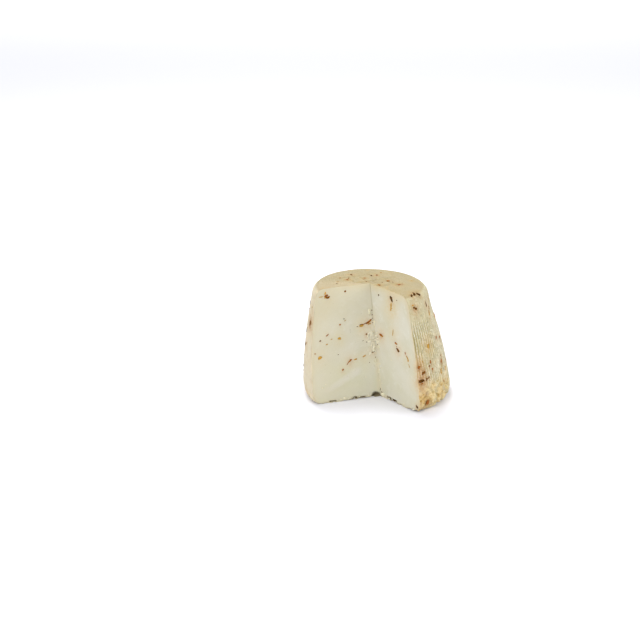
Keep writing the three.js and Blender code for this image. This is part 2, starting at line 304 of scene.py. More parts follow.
class Shader(Graph):
    """A material's node tree, which lays coats of colour and ends in one Principled shader."""

    def __init__(self, name: str) -> None:
        """Makes an empty material.

        Args:
            name: Its name.
        """
        self.material = bpy.data.materials.new(name)
        self.material.use_nodes = True
        super().__init__(self.material.node_tree)

    def place(self) -> Wire:
        """The object's own coordinates, in metres."""
        return self.add("ShaderNodeTexCoord", None, "Object")

    def attribute(self, name: str, key: str = "Fac") -> Wire:
        """A mesh attribute, as a number by the key Fac or as a vector by the key Vector."""
        return self.add("ShaderNodeAttribute", None, key, attribute_name=name)

    def _blend(self, share: object, first: object, second: object) -> None:
        """Makes the colour a mix of two."""
        inputs = {"Factor": share, "A": first, "B": second}
        self.colour = self.add("ShaderNodeMix", inputs, data_type="RGBA", clamp_factor=True)

    def ground(self, share: object, first: Triple, second: Triple) -> None:
        """Starts the colour with a share of the second tone over the first."""
        self._blend(share, tint(first), tint(second))

    def coat(self, share: object, tone: Triple) -> None:
        """Lays a share of a tone over the colour."""
        self._blend(share, self.colour, tint(tone))

    def bump(self, height: Wire, distance: float, under: Wire | None = None) -> Wire:
        """The normal bent by a relief, whose depth is in metres, over that of a finer bump."""
        inputs = {"Height": height, "Distance": distance, "Strength": 1.0}
        return self.add("ShaderNodeBump", inputs if under is None else {**inputs, "Normal": under})

    def close(self, inputs: dict, soft: float = 0.0, radius: Triple | None = None) -> bpy.types.Material:
        """Ends the tree in a Principled shader.

        Args:
            inputs: Its sockets' values or wires, but for the colour.
            soft: How much light passes under the surface.
            radius: How far that light goes, by colour, in metres.

        Returns:
            The finished material.
        """
        inputs["Base Color"] = self.colour
        if radius:
            inputs |= {"Subsurface Weight": soft, "Subsurface Radius": radius, "Subsurface Scale": 1.0}
        self.add("ShaderNodeOutputMaterial", {"Surface": self.add("ShaderNodeBsdfPrincipled", inputs)})
        return self.material


class Growth(Graph):
    """A Geometry Nodes tree with named inputs, whose result becomes a plain mesh."""

    def __init__(self, name: str, values: dict[str, object]) -> None:
        """Makes the tree and its inputs.

        Args:
            name: The tree's name.
            values: Numbers and materials by the names of its inputs.
        """
        self.values = values
        super().__init__(bpy.data.node_groups.new(name, "GeometryNodeTree"))
        face = self.tree.interface
        face.new_socket("Geometry", in_out="INPUT", socket_type="NodeSocketGeometry")
        for label, value in values.items():
            kind = "NodeSocketFloat" if isinstance(value, float) else "NodeSocketMaterial"
            face.new_socket(label, in_out="INPUT", socket_type=kind)
        face.new_socket("Geometry", in_out="OUTPUT", socket_type="NodeSocketGeometry")
        self.entry = self.add("NodeGroupInput").socket.node

    def given(self, label: str) -> Wire:
        """One of the tree's named inputs."""
        return Wire(self, self.entry.outputs[label])

    def place(self) -> Wire:
        """The points' own coordinates, in metres."""
        return self.add("GeometryNodeInputPosition")

    def attribute(self, name: str, kind: str = "FLOAT") -> Wire:
        """A named attribute, as a number by the kind FLOAT or as a vector by the kind FLOAT_VECTOR."""
        return self.add("GeometryNodeInputNamedAttribute", {"Name": name}, data_type=kind)

    def moved(self, shape: Wire, **inputs: Wire) -> Wire:
        """The shape with its points set to a Position or shifted by an Offset."""
        return self.add("GeometryNodeSetPosition", {"Geometry": shape, **inputs})

    def real(self, shape: Wire) -> Wire:
        """The shape with its instances made real."""
        return self.add("GeometryNodeRealizeInstances", {"Geometry": shape})

    def dressed(self, shape: Wire, finish: str, where: object = True) -> Wire:
        """The shape with one of the given materials on the faces that are chosen."""
        inputs = {"Geometry": shape, "Selection": where, "Material": self.given(finish)}
        return self.add("GeometryNodeSetMaterial", inputs)

    def grow(self, shape: Wire, piece: bpy.types.Object) -> None:
        """Ends the tree in a shape and makes what it gives for an object that object's plain mesh.

        Args:
            shape: The tree's result.
            piece: The object, in the scene.
        """
        self.add("NodeGroupOutput", {"Geometry": shape})
        modifier = piece.modifiers.new(self.tree.name, "NODES")
        modifier.node_group = self.tree
        for item in self.tree.interface.items_tree:
            if item.in_out == "INPUT" and item.name in self.values:
                modifier[item.identifier] = self.values[item.name]
        bpy.context.view_layer.update()
        graph = bpy.context.evaluated_depsgraph_get()
        source = piece.evaluated_get(graph)
        mesh = bpy.data.meshes.new_from_object(source, preserve_all_data_layers=True, depsgraph=graph)
        piece.modifiers.remove(modifier)
        mesh.name = piece.name
        piece.data = mesh


# The round and its cuts


@dataclass(frozen=True)
class Round:
    """The whole round before it was cut: tapered, with a belly, rounded rims and a lean.

    A hand wave has its count of waves, its depth and its start. The full foot has its angle, its spread,
    how far it stands out and its top, and the sag has its angle, its height, its reach and its depth.
    """

    height: float = 125.0
    foot_radius: float = 82.6
    cap_radius: float = 59.8
    belly: float = 3.5
    foot_rounding: float = 13.0
    cap_rounding: float = 11.0
    cap_arc_start: float = 11.5
    steepest: float = 0.98
    bend_start: float = 100.0
    crown: float = 0.6
    crown_radius: float = 38.0
    crown_rim: float = 2.0
    lean: Pair = (-10.5, -2.0)
    place: Pair = (0.4, -6.3)
    hand_waves: tuple[Triple, ...] = ((2.0, 0.6, 0.6), (3.0, 0.4, 2.1))
    rib_count: int = 124
    rib_foot: Pair = (15.0, 27.0)
    rib_head: Pair = (92.0, 108.0)
    full_foot: Quad = (203.0, 34.0, 6.5, 13.0)
    sag: Quad = (350.0, 95.0, 30.0, 3.0)

    def side_radius(self, z: np.ndarray) -> np.ndarray:
        """The side's radius: a straight taper and a belly, which is deepest halfway up.

        Args:
            z: Heights.

        Returns:
            The radius at each height.
        """
        share = z / self.height
        taper = (self.cap_radius - self.foot_radius) * share
        return self.foot_radius + taper + self.belly * 4.0 * share * (1.0 - share)

    def unevenness(self, angle: np.ndarray) -> np.ndarray:
        """The slow unevenness of a round pressed by hand, as an addition to the radius."""
        return sum(deep * np.sin(waves * angle + start) for waves, deep, start in self.hand_waves)

    def rib_strength(self, z: np.ndarray) -> np.ndarray:
        """How strongly the ribs show at a height: they fade before both rims."""
        return smooth(z, *self.rib_foot) * (1.0 - smooth(z, *self.rib_head))

    def centre(self, z: np.ndarray) -> np.ndarray:
        """The middle of the round at a height, as x and y."""
        return np.multiply.outer(np.asarray(z, float) / self.height, self.lean)

    @staticmethod
    def _between(angle: np.ndarray, degrees: float) -> np.ndarray:
        """How far angles in radians lie from an angle in degrees, in degrees."""
        away = np.abs(np.degrees(angle) - degrees) % FULL_TURN
        return np.minimum(away, FULL_TURN - away)

    def marks(self, angle: np.ndarray, z: np.ndarray) -> np.ndarray:
        """The fuller foot beside the left cut less the sag of the side.

        Args:
            angle: Angles in radians.
            z: Heights there.

        Returns:
            Additions to the radius.
        """
        place, spread, out, top = self.full_foot
        near = 1.0 - smooth(self._between(angle, place), 0.0, spread)
        low = np.maximum(1.0 - z / top, 0.0)
        place, up, reach, deep = self.sag
        along = np.radians(self._between(angle, place)) * self.side_radius(z)
        return out * near * low * low - deep * (1.0 - smooth(np.hypot(along, z - up), 0.0, reach))

    def grown(self, angle: np.ndarray, section: np.ndarray, z: np.ndarray) -> np.ndarray:
        """A ring's real radius, with the unevenness, which fades towards the middle."""
        uneven = self.unevenness(angle) * (section / self.side_radius(z)) ** 2
        return section + uneven + self.marks(angle, z)

    def ring(self, angle: np.ndarray, section: np.ndarray, z: np.ndarray) -> np.ndarray:
        """Points of the surface without its print, from angles in radians, section radii and heights."""
        radius = self.grown(angle, section, z)
        return raised(np.stack([np.cos(angle), np.sin(angle)], -1) * radius[..., None] + self.centre(z), z)

    def section(self, foot_steps: int, side_steps: int, cap_steps: int) -> Row:
        """Half the round's section, from the foot's edge to the cap's edge.

        Args:
            foot_steps: Steps along the foot's rounding.
            side_steps: Steps up the side.
            cap_steps: Steps along the cap's rounding.

        Returns:
            Radii and heights.
        """
        turn = np.radians(np.linspace(-90.0, 0.0, foot_steps + 1))
        foot_middle = self.side_radius(self.foot_rounding) - self.foot_rounding
        foot_radii = foot_middle + self.foot_rounding * np.cos(turn)
        foot_heights = self.foot_rounding * (1.0 + np.sin(turn))
        turn = np.radians(np.linspace(self.cap_arc_start, 90.0, cap_steps + 1))
        cap_base = self.height - self.cap_rounding
        cap_radii = self.side_radius(cap_base) - self.cap_rounding + self.cap_rounding * np.cos(turn)
        cap_heights = cap_base + self.cap_rounding * np.sin(turn)
        top = cap_heights[0]
        heights = np.linspace(self.foot_rounding, top, side_steps + 1)[1:-1]
        bend = (cap_radii[0] - self.side_radius(top)) * smooth(heights, self.bend_start, top)
        radii = [foot_radii, self.side_radius(heights) + bend, cap_radii]
        return np.concatenate(radii), np.concatenate([foot_heights, heights, cap_heights])

    def crown_height(self, x: np.ndarray, y: np.ndarray) -> np.ndarray:
        """The height of the cap over a place.

        Args:
            x: The place's x.
            y: Its y.

        Returns:
            The height.
        """
        middle = self.centre(self.height)
        reach = np.hypot(x - middle[0], y - middle[1])
        edge = self.side_radius(self.height - self.cap_rounding) - self.cap_rounding
        return self.height + self.crown * (1.0 - smooth(reach, self.crown_radius - self.crown_rim, edge))

    def rind_point(self, degrees: float, z: float) -> np.ndarray:
        """A point of the side without its rims and print."""
        return self.ring(np.radians(degrees), self.side_radius(z), np.float64(z))

    def rim(self, z: float) -> Pair:
        """The section near the rims.

        Args:
            z: A height.

        Returns:
            How far the section lies inside the straight side, and the upward tilt of its normal in radians.
        """
        base = self.height - self.cap_rounding
        rounding = self.foot_rounding if z < base else self.cap_rounding
        start = rounding if z < base else base
        if start <= z <= base:
            return 0.0, 0.0
        share = float(np.clip((z - start) / rounding, -self.steepest, self.steepest))
        radius = float(self.side_radius(start)) - rounding * (1.0 - math.sqrt(1.0 - share**2))
        return float(self.side_radius(z)) - radius, math.asin(share)


@dataclass(frozen=True)
class Notch:
    """The two knife cuts and the valley in which they meet."""

    round: Round
    valley_foot: Pair = (3.2, -20.5)
    valley_head: Pair = (-9.6, -3.4)
    left: float = 198.4
    right: float = 308.8
    tries: int = 6

    def valley(self, z: np.ndarray) -> np.ndarray:
        """Points of the valley.

        Args:
            z: Heights.

        Returns:
            A point at each height.
        """
        foot = np.array(self.valley_foot)
        share = np.asarray(z, float)[..., None] / self.round.height
        return raised(foot + (np.array(self.valley_head) - foot) * share, z)

    def way(self, cut: Part) -> np.ndarray:
        """The level direction in which a cut runs out from the valley."""
        return heading(self.left if cut is Part.LEFT else self.right)

    def outward(self, cut: Part) -> np.ndarray:
        """The direction in which a cut face looks."""
        rise = unit(self.valley(np.float64(self.round.height)) - self.valley(np.float64(0.0)))
        return unit(np.cross(self.way(cut), rise)) * (-1.0 if cut is Part.LEFT else 1.0)

    def opening(self) -> np.ndarray:
        """The direction in which the notch opens."""
        return unit(self.outward(Part.LEFT) + self.outward(Part.RIGHT))

    def reach(self, cut: Part, section: np.ndarray, z: np.ndarray) -> Row:
        """How far a cut runs from the valley to the surface.

        Args:
            cut: Which cut.
            section: Radii of the round's section.
            z: The heights that go with them.

        Returns:
            Lengths, and the angles round the middle at which the cut ends, in radians.
        """
        way = self.way(cut)[:2]
        start = self.valley(z)[:, :2] - self.round.centre(z)
        radius = section.copy()
        along = start @ way
        for _ in range(self.tries):
            length = -along + np.sqrt(along**2 - np.sum(start**2, -1) + radius**2)
            end = start + way * length[:, None]
            angle = np.arctan2(end[:, 1], end[:, 0])
            radius = self.round.grown(angle, section, z)
        return length, angle % (2.0 * math.pi) if cut is Part.LEFT else angle


@dataclass(frozen=True)
class Spot:
    """A place on the surface: where it is, which way is out and which way is level, by unit vectors."""

    place: np.ndarray
    outward: np.ndarray
    level: np.ndarray

    def off(self, shift: np.ndarray) -> "Spot":
        """The same spot at a shifted place."""
        return Spot(self.place + shift, self.outward, self.level)


@dataclass(frozen=True)
class Surveyor:
    """Finds places on the surface from the same measures as the solid's source."""

    round: Round
    notch: Notch
    probe: float = 0.5

    def cut(self, cut: Part, out: float, up: float) -> Spot:
        """A place on a cut face, by its distance from the valley and its height."""
        level = self.notch.way(cut)
        return Spot(self.notch.valley(np.float64(up)) + level * out, self.notch.outward(cut), level)

    def rind(self, degrees: float, up: float) -> Spot:
        """A place on the side.

        Args:
            degrees: Its angle.
            up: Its height.

        Returns:
            The place.
        """
        here = self.round.rind_point
        level = unit(here(degrees + self.probe, up) - here(degrees - self.probe, up))
        rise = unit(here(degrees, up + self.probe) - here(degrees, up - self.probe))
        outward = unit(np.cross(level, rise))
        sink, tilt = self.round.rim(up)
        place = here(degrees, up) - unit(outward * FLAT) * sink
        return Spot(place, unit(outward * math.cos(tilt) + UP * math.sin(tilt)), level)

    def crown(self, radius: float, degrees: float) -> Spot:
        """A place on the cap, by its distance from the middle and its angle."""
        x, y = self.round.centre(self.round.height) + heading(degrees)[:2] * radius
        return Spot(np.array([x, y, self.round.crown_height(x, y)]), UP, heading(degrees))


class Draws:
    """Seeded draws, the same as the solid's source makes."""

    STEP = 16807
    RANGE = 2147483647
    GOLDEN = 0.618034

    def __init__(self, start: int = 20731) -> None:
        """Starts the row of draws."""
        self.state = start

    def draw(self, low: float, high: float) -> float:
        """The next value between two limits."""
        self.state = (self.state * self.STEP) % self.RANGE
        return low + (high - low) * (self.state / self.RANGE)

    @classmethod
    def golden(cls, index: int, low: float, high: float) -> float:
        """A value that walks evenly and out of order through a range."""
        return low + (high - low) * ((index * cls.GOLDEN) % 1.0)


# What is missing from the surface, and what sticks out of it


@dataclass(frozen=True)
class Scoop:
    """A hollow with an uneven wall. The surface inside it is pushed out through its far side.

    Points below its floor stay, and those of the lip under it are found by their reach and rise.
    """

    middle: np.ndarray
    axes: np.ndarray
    radii: np.ndarray
    push: np.ndarray
    ragged: float = 0.12
    # Dark is the share of painted shade on the points that the hollow moves.
    dark: float = 0.0
    floor: float = -1.0
    step: float = 0.2
    farthest: float = 2.6
    margin: float = 1.3
    lip_reach: float = 1.1
    lip_rise: float = 0.1
    waves: tuple[Triple, Triple] = ((1.9, 2.7, 1.3), (-2.3, 1.1, 3.1))

    def _local(self, points: np.ndarray) -> np.ndarray:
        """The points by the hollow's axes and radii."""
        return (points - self.middle) @ self.axes.T / self.radii

    def lip(self, points: np.ndarray) -> np.ndarray:
        """Which points lie on the lip under the hollow."""
        near = np.sum(self._local(points)[:, :2] ** 2, -1) < self.lip_reach
        return near & (points[:, 2] < self.floor + self.lip_rise)

    def _inside(self, points: np.ndarray) -> np.ndarray:
        """Which points lie inside the hollow.

        Args:
            points: The points.

        Returns:
            Whether each one does.
        """
        first, second = (np.sin(points @ np.array(wave)) for wave in self.waves)
        size = np.where(points[:, 2] > self.floor, 1.0 + self.ragged * (first * second), 0.0)
        return np.sum(self._local(points) ** 2, -1) < size

    def carve(self, points: np.ndarray) -> None:
        """Pushes the points inside along one way until they are out.

        Args:
            points: All the surface's points, changed in place.
        """
        longest = self.radii.max()
        near = np.nonzero(np.linalg.norm(points - self.middle, axis=-1) < longest * self.margin)[0]
        for _ in range(int(self.farthest * longest / self.step)):
            moving = near[self._inside(points[near])]
            if moving.size == 0:
                return
            points[moving] += self.push * self.step


@dataclass(frozen=True)
class Lump:
    """A crumb that stands out of the surface."""

    spot: Spot
    size: Triple
    turn: float


@dataclass(frozen=True)
class Tear:
    """The torn line of the valley, which broke instead of being cut: pits and crumbs in turn."""

    surveyor: Surveyor
    count: int = 14
    up: Pair = (22.0, 96.0)
    along: Pair = (0.1, 0.9)
    size: Pair = (2.4, 4.6)
    out: Pair = (0.5, 4.0)
    left_share: float = 0.5
    depth: float = 0.8
    height: float = 1.6
    sunk: float = 0.15
    pit_share: float = 0.22

    def lumps(self, draws: Draws, missing: bool) -> list[Lump]:
        """The crumbs or the pits.

        Args:
            draws: The row of draws.
            missing: Whether to give the pits.

        Returns:
            Lumps, or the lumps that are missing.
        """
        found = []
        step = (self.up[1] - self.up[0]) / self.count
        for index in range(0 if missing else 1, self.count, 2):
            size = draws.draw(*self.size)
            cut = CUTS[draws.draw(0.0, 1.0) >= self.left_share]
            up = self.up[0] + step * (index + draws.draw(*self.along))
            spot = self.surveyor.cut(cut, draws.draw(*self.out), up)
            spot = spot.off(-(spot.outward * size * self.sunk))
            sizes = (size, size * self.depth, size * self.height)
            found.append(Lump(spot, sizes, draws.draw(0.0, HALF_TURN)))
        return found

    def pits(self, lumps: Sequence[Lump]) -> list[Scoop]:
        """The hollows that missing lumps leave.

        Args:
            lumps: The lumps that are missing.

        Returns:
            One hollow for each.
        """
        found = []
        for lump in lumps:
            along = heading(lump.turn)
            axes = np.array([along, np.cross(UP, along), UP])
            radii = np.array(lump.size) * self.pit_share
            found.append(Scoop(lump.spot.place, axes, radii, -self.surveyor.notch.opening()))
        return found


@dataclass(frozen=True)
class FootEdge:
    """The broken edge of the foot: bites along both cuts and the hollow under the valley.

    Each bite is the cut it lies on, its distance from the valley, its width, height and depth, how far
    its middle is lifted and how much painted shade fills it. A lifted bite leaves a lip below it. Nicks are
    seeded bites.
    """

    surveyor: Surveyor
    bites: tuple[tuple[Part, float, float, float, float, float, float], ...] = (
        (Part.LEFT, 55.2, 9.0, 2.4, 4.0, 1.2, 1.0),
        (Part.LEFT, 29.5, 6.0, 3.2, 4.0, 1.6, 1.0),
        (Part.LEFT, 21.5, 9.0, 2.3, 4.0, 1.3, 1.0),
        (Part.RIGHT, 18.5, 17.0, 3.0, 7.0, 2.2, 1.0),
        (Part.RIGHT, 58.0, 30.0, 6.0, 26.0, 0.0, 0.4),
    )
    lip: float = 0.5
    ragged: float = 0.2
    hollow_out: float = 5.2
    hollow_radii: Triple = (6.3, 5.0, 5.8)
    # Painted shade in the hollow under the valley and in the nicks.
    hollow_dark: float = 0.85
    nicks: int = 34
    nick_ranges: tuple[Pair, ...] = ((8.0, 78.0), (2.0, 9.0), (1.0, 3.2), (1.5, 4.5))
    nick_dark: float = 0.4
    seed: int = 41

    def _bite(self, cut: Part, out: float, sizes: Triple, lift: float, dark: float) -> Scoop:
        """One bite, centred on the foot's edge or a little over it.

        Args:
            cut: The cut that it lies on.
            out: Its distance from the valley.
            sizes: Its width, height and depth.
            lift: How far its middle is lifted.
            dark: How much painted shade fills it.

        Returns:
            The hollow.
        """
        wide, high, deep = sizes
        spot = self.surveyor.cut(cut, out, lift)
        outward = unit(spot.outward * FLAT)
        push = unit(UP * high * (lift == 0.0) - outward * deep)
        axes = np.array([spot.level, outward, UP])
        radii = np.array([wide, deep, high]) / 2.0
        floor = self.lip if lift > 0.0 else Scoop.floor
        return Scoop(spot.place, axes, radii, push, self.ragged, dark, floor)

    def scoops(self) -> list[Scoop]:
        """All the hollows of the foot's edge.

        Returns:
            The bites, the nicks and, as the last, the hollow under the valley.
        """
        found = [self._bite(cut, out, sizes, lift, dark) for cut, out, *sizes, lift, dark in self.bites]
        luck = np.random.default_rng(self.seed)
        for index in range(self.nicks):
            out, *sizes = (luck.uniform(*limits) for limits in self.nick_ranges)
            found.append(self._bite(CUTS[index % 2], out, sizes, 0.0, self.nick_dark))
        middle = self.surveyor.cut(Part.LEFT, self.hollow_out, 0.0).place
        back = -unit(self.surveyor.notch.opening() * FLAT)
        axes = np.array([(back[1], -back[0], 0.0), back, UP])
        radii = np.array(self.hollow_radii)
        found.append(Scoop(middle, axes, radii, back, self.ragged, self.hollow_dark, self.lip))
        return found


# The flakes


@dataclass(frozen=True)
class Flake:
    """A chilli flake: where it lies, its length, width and turn, its colour and its stain."""

    spot: Spot
    long: float
    wide: float
    turn: float
    hue: float
    stain: float = 0.0
    thick: float = 1.3


@dataclass(frozen=True)
class Spread:
    """A seeded spread of flakes: their count and the ranges of their places, sizes and stains."""

    count: int
    around: Pair
    long: Pair
    slim: Pair
    stain: Pair
    up: Pair = (0.0, 0.0)
    hue_shares: tuple[float, ...] = (0.2, 0.2, 0.32, 0.14, 0.14)
    hue_spread: float = 0.06

    def flake(self, spot: Spot, long: float, draw: Callable, luck: np.random.Generator) -> Flake:
        """One flake of the spread.

        Args:
            spot: Where it lies.
            long: Its length.
            draw: Gives the next draw between two limits.
            luck: Draws its colour and its stain.

        Returns:
            The flake.
        """
        wide = long * draw(*self.slim)
        turn = draw(0.0, HALF_TURN)
        hue = luck.choice([hue.value for hue in Hue], p=self.hue_shares)
        hue = float(hue + luck.uniform(-self.hue_spread, self.hue_spread))
        return Flake(spot, long, wide, turn, hue, luck.uniform(*self.stain))


@dataclass(frozen=True)
class FlakeMap:
    """Where the flakes lie.

    Rows of the cuts give the distance from the valley, and rows of the rind the angle. Then come the
    height, the length, the width, the turn, the colour and the strength of the stain round the flake.
    A flake of some size gets two scraps, with ranges of their place along and across it, their length,
    their width, their colour, their turn and their thickness.
    """

    surveyor: Surveyor
    left: tuple[tuple, ...] = (
        (49.9, 115.2, 5, 2.8, 5, BROWN, 1), (51.4, 117.2, 5, 2.6, 30, RED, 1),
        (52, 119.8, 3.4, 2, 60, ORANGE, 1), (29.3, 120, 2.8, 2.4, 30, BROWN, 0.1),
        (38.9, 84.5, 2.6, 1.8, 10, RED, 0.2), (14.9, 80.5, 5.2, 2.6, 0, AMBER, 0.8),
        (5.9, 84, 8, 2.4, 30, RED, 0.5), (54.5, 74.7, 4.6, 1.3, 38, RED, 0.25),
        (9.7, 70.7, 2.6, 2, 0, BROWN, 0.6), (41.1, 69.7, 4.4, 3, 10, AMBER, 0.6),
        (63.1, 69.3, 2.4, 1.6, 20, BROWN, 0.2), (65.4, 51.1, 5, 3.8, 15, ORANGE, 0.8),
        (31.5, 43.7, 6.6, 1.9, 35, RED, 0.5), (25, 44.7, 3.8, 2, 20, AMBER, 0.4),
        (40.7, 34.9, 3, 1.9, 50, RED, 0.4), (57.1, 116.6, 6, 0.8, 4, AMBER, 0.5),
        (33.8, 90.4, 1.5, 1, 20, DARK, 0), (55.9, 64.8, 2.2, 1.4, 30, AMBER, 0.3),
        (70.3, 56, 1.8, 1.4, 10, RED, 0.3), (44.4, 52.1, 1.3, 1, 0, DARK, 0),
        (14.6, 47, 5.2, 1.5, 28, AMBER, 0.5), (5, 49.8, 8, 0.9, 12, BROWN, 0.3),
        (34.6, 40.8, 4, 0.9, 52, RED, 0.3), (2.8, 85.9, 2.6, 0.9, 65, DARK, 0.1),
        (11.9, 82, 3, 0.9, 12, RED, 0.2), (32.8, 88.4, 3.6, 0.7, 28, AMBER, 0.1),
        (0.9, 96.2, 1.8, 1, 80, DARK, 0), (1.1, 91.3, 1.6, 0.9, 70, DARK, 0),
        (50.1, 69.7, 2.6, 1, 15, AMBER, 0.3), (1, 87.5, 1.4, 0.8, 75, DARK, 0),
        (0.9, 83, 2.2, 1, 40, DARK, 0), (5.3, 82, 3.6, 1.6, 20, AMBER, 0.6),
        (9.4, 83, 9, 0.9, 22, BROWN, 0.3), (14.6, 82.2, 4.6, 0.8, 6, BROWN, 0.3),
        (19.5, 80.3, 1.8, 0.8, 10, DARK, 0), (14.4, 64, 1.6, 0.6, 30, DARK, 0),
        (2.9, 50.6, 2.4, 0.8, 50, DARK, 0), (1.8, 44.2, 1.6, 0.9, 60, BROWN, 0),
        (9.3, 39.3, 1.4, 0.6, 10, DARK, 0), (10.5, 62, 1.6, 0.6, 40, DARK, 0),
        (19, 1.6, 2.2, 0.6, 10, BROWN, 0), (28.6, 2.4, 2.4, 0.8, 24, DARK, 0),
        (33.2, 1.2, 1.6, 0.6, 0, BROWN, 0), (59, 1.8, 1.8, 0.6, 40, DARK, 0),
    )
    right: tuple[tuple, ...] = (
        (12.6, 116, 2.4, 2, 60, DARK, 0), (32.9, 116.8, 8.6, 3.4, -55, DARK, 0.4),
        (10.5, 71.4, 6.2, 3.2, -10, RED, 0.6), (34.1, 69.1, 5, 2.4, -27, RED, 0.2),
        (36.3, 62.6, 6, 3, -35, BROWN, 0.5), (50.7, 57.8, 6.4, 1.6, -55, AMBER, 0.5),
        (41.7, 117.7, 1.8, 1, 0, BROWN, 0.1), (31.4, 107.9, 11, 2.2, 86, AMBER, 1),
        (30.7, 80, 9, 1, 86, AMBER, 0.6), (52.5, 49.9, 5, 0.6, -60, AMBER, 0.2),
        (47.9, 62.4, 3.6, 1.2, -70, RED, 0.3), (51.1, 54.9, 2.4, 1.4, -50, ORANGE, 0.4),
        (35, 65.6, 2, 0.8, -60, RED, 0.1), (2.8, 58.9, 2, 0.7, 40, DARK, 0),
        (3.4, 5.2, 5, 1.1, -14, DARK, 0.1), (0.7, 8, 4.5, 0.6, 78, DARK, 0),
        (59.4, 7.4, 4.6, 2.6, -20, DARK, 0.4), (12.4, 3.9, 2.4, 0.7, -20, BROWN, 0),
        (16.4, 4, 3.4, 0.8, -8, DARK, 0), (22.2, 3, 3, 0.8, -12, DARK, 0),
        (38.2, 62, 2.2, 1.2, -60, DARK, 0.1),
    )
    rind: tuple[tuple, ...] = (
        (197, 87, 7, 5, 75, BROWN, 1), (187, 75, 7, 2, 80, DARK, 0.3), (316, 112, 6.4, 3, -50, BROWN, 0.7),
        (337, 110, 6.8, 2.6, -82, DARK, 0.5), (350, 112, 4.4, 2.4, -65, RED, 0.5),
        (346, 103, 4, 2, 80, RED, 0.5), (338, 73, 3.4, 2.2, 20, RED, 0.4),
        (347, 69, 3.8, 2.2, 40, RED, 0.5), (321.5, 69.5, 5.6, 3.8, 70, AMBER, 1),
        (320, 52.5, 4, 2.4, 80, RED, 0.4), (337, 46.5, 4.6, 3, 80, RED, 0.6),
        (306.5, 51.5, 4.4, 3.2, 30, RED, 0.9), (321, 44.5, 3, 2, 0, RED, 0.5),
        (310.4, 44.3, 6, 3.2, 10, BROWN, 0.7), (333, 37, 6, 2, 75, AMBER, 0.5),
        (306.8, 36.2, 9, 3.8, 3, DARK, 0.9), (314, 36.8, 7, 1.5, 22, BROWN, 0.4),
        (328, 16, 5, 3.4, 40, ORANGE, 0.9), (310.5, 10.5, 5.4, 3.6, 80, RED, 1),
        (325, 124, 5.6, 3, 50, DARK, 0.6), (329.6, 122.8, 5.2, 3, -30, DARK, 0.6),
        (319, 123.6, 4.2, 2.6, 15, DARK, 0.6), (314, 115.6, 3, 1.6, 10, ORANGE, 0.5),
        (341.6, 98.5, 7, 1.2, 84, AMBER, 0.6), (343.5, 34.2, 4.6, 1.6, 60, ORANGE, 0.6),
        (318, 49, 3.4, 1.4, 20, BROWN, 0.5), (339, 52, 2, 1.4, 60, RED, 0.5),
        (311, 56, 2.4, 1.2, 70, AMBER, 0.5), (306.9, 33.1, 3, 1.6, 15, RED, 0.8),
        (312.3, 37.1, 4.6, 1.2, -35, BROWN, 0.6), (344, 22, 3, 1.8, 35, ORANGE, 0.8),
        (335, 24, 2.4, 1.4, -20, RED, 0.5), (319, 27, 3, 1.6, 50, AMBER, 0.8),
        (307, 21.4, 2.6, 1.3, 20, ORANGE, 0.8), (313.6, 18.8, 2.8, 1.2, -20, AMBER, 0.8),
        (303.8, 14.6, 2.4, 1.3, 40, AMBER, 0.8), (322.6, 70.2, 3.4, 1.2, 60, BROWN, 0.1),
        (303.5, 4.5, 2.4, 1.4, 20, DARK, 0.5), (352, 40, 3, 1.6, 75, RED, 0.5),
        (196, 104, 3, 1.2, 60, AMBER, 0.6), (193, 62, 2.4, 1.4, 70, RED, 0.5),
    )
    back: Spread = Spread(46, (2.0, 190.0), (2.8, 6.4), (0.35, 0.7), (0.3, 0.9), (10.0, 112.0))
    crown: Spread = Spread(7, (-30.0, 185.0), (2.8, 5.0), (0.4, 0.7), (0.3, 0.8))
    crown_first: float = 0.8
    specks: Spread = Spread(70, (-5.0, 196.0), (1.1, 2.6), (0.4, 0.8), (0.2, 0.6), (4.0, 120.0))
    side_share: float = 0.8
    speck_crown: Pair = (-40.0, 190.0)
    speck_radius: float = 50.0
    whole_below: float = 3.0
    scrap_ranges: tuple[Pair, ...] = (
        (0.18, 0.36), (-0.4, 0.4), (0.35, 0.6), (0.4, 0.75), (-0.22, 0.2), (-50.0, 50.0), (0.8, 1.5)
    )
    seed: int = 7

    def _counted(self) -> list[Flake]:
        """The flakes that the photograph shows.

        Returns:
            One flake for each row.
        """
        surveyor = self.surveyor
        found = []
        for part, rows in ((Part.LEFT, self.left), (Part.RIGHT, self.right), (Part.RIND, self.rind)):
            for across, up, long, wide, turn, hue, stain in rows:
                spot = surveyor.rind(across, up) if part is Part.RIND else surveyor.cut(part, across, up)
                found.append(Flake(spot, long, wide, turn, hue.value, stain))
        return found

    def _spread(self, draws: Draws) -> list[Flake]:
        """The flakes of the sides that no eye has counted, where the solid has them.

        Args:
            draws: The row of draws.

        Returns:
            The flakes.
        """
        luck = np.random.default_rng(self.seed)
        found = []
        for index in range(self.back.count):
            up = self.back.up[0] + (self.back.up[1] - self.back.up[0]) * ((index + 0.5) / self.back.count)
            spot = self.surveyor.rind(draws.golden(index, *self.back.around), up)
            found.append(self.back.flake(spot, draws.draw(*self.back.long), draws.draw, luck))
        for index in range(self.crown.count):
            share = (index + self.crown_first) / (self.crown.count + 1)
            radius = self.surveyor.round.crown_radius * math.sqrt(share)
            spot = self.surveyor.crown(radius, draws.golden(index, *self.crown.around))
            found.append(self.crown.flake(spot, draws.draw(*self.crown.long), draws.draw, luck))
        return found

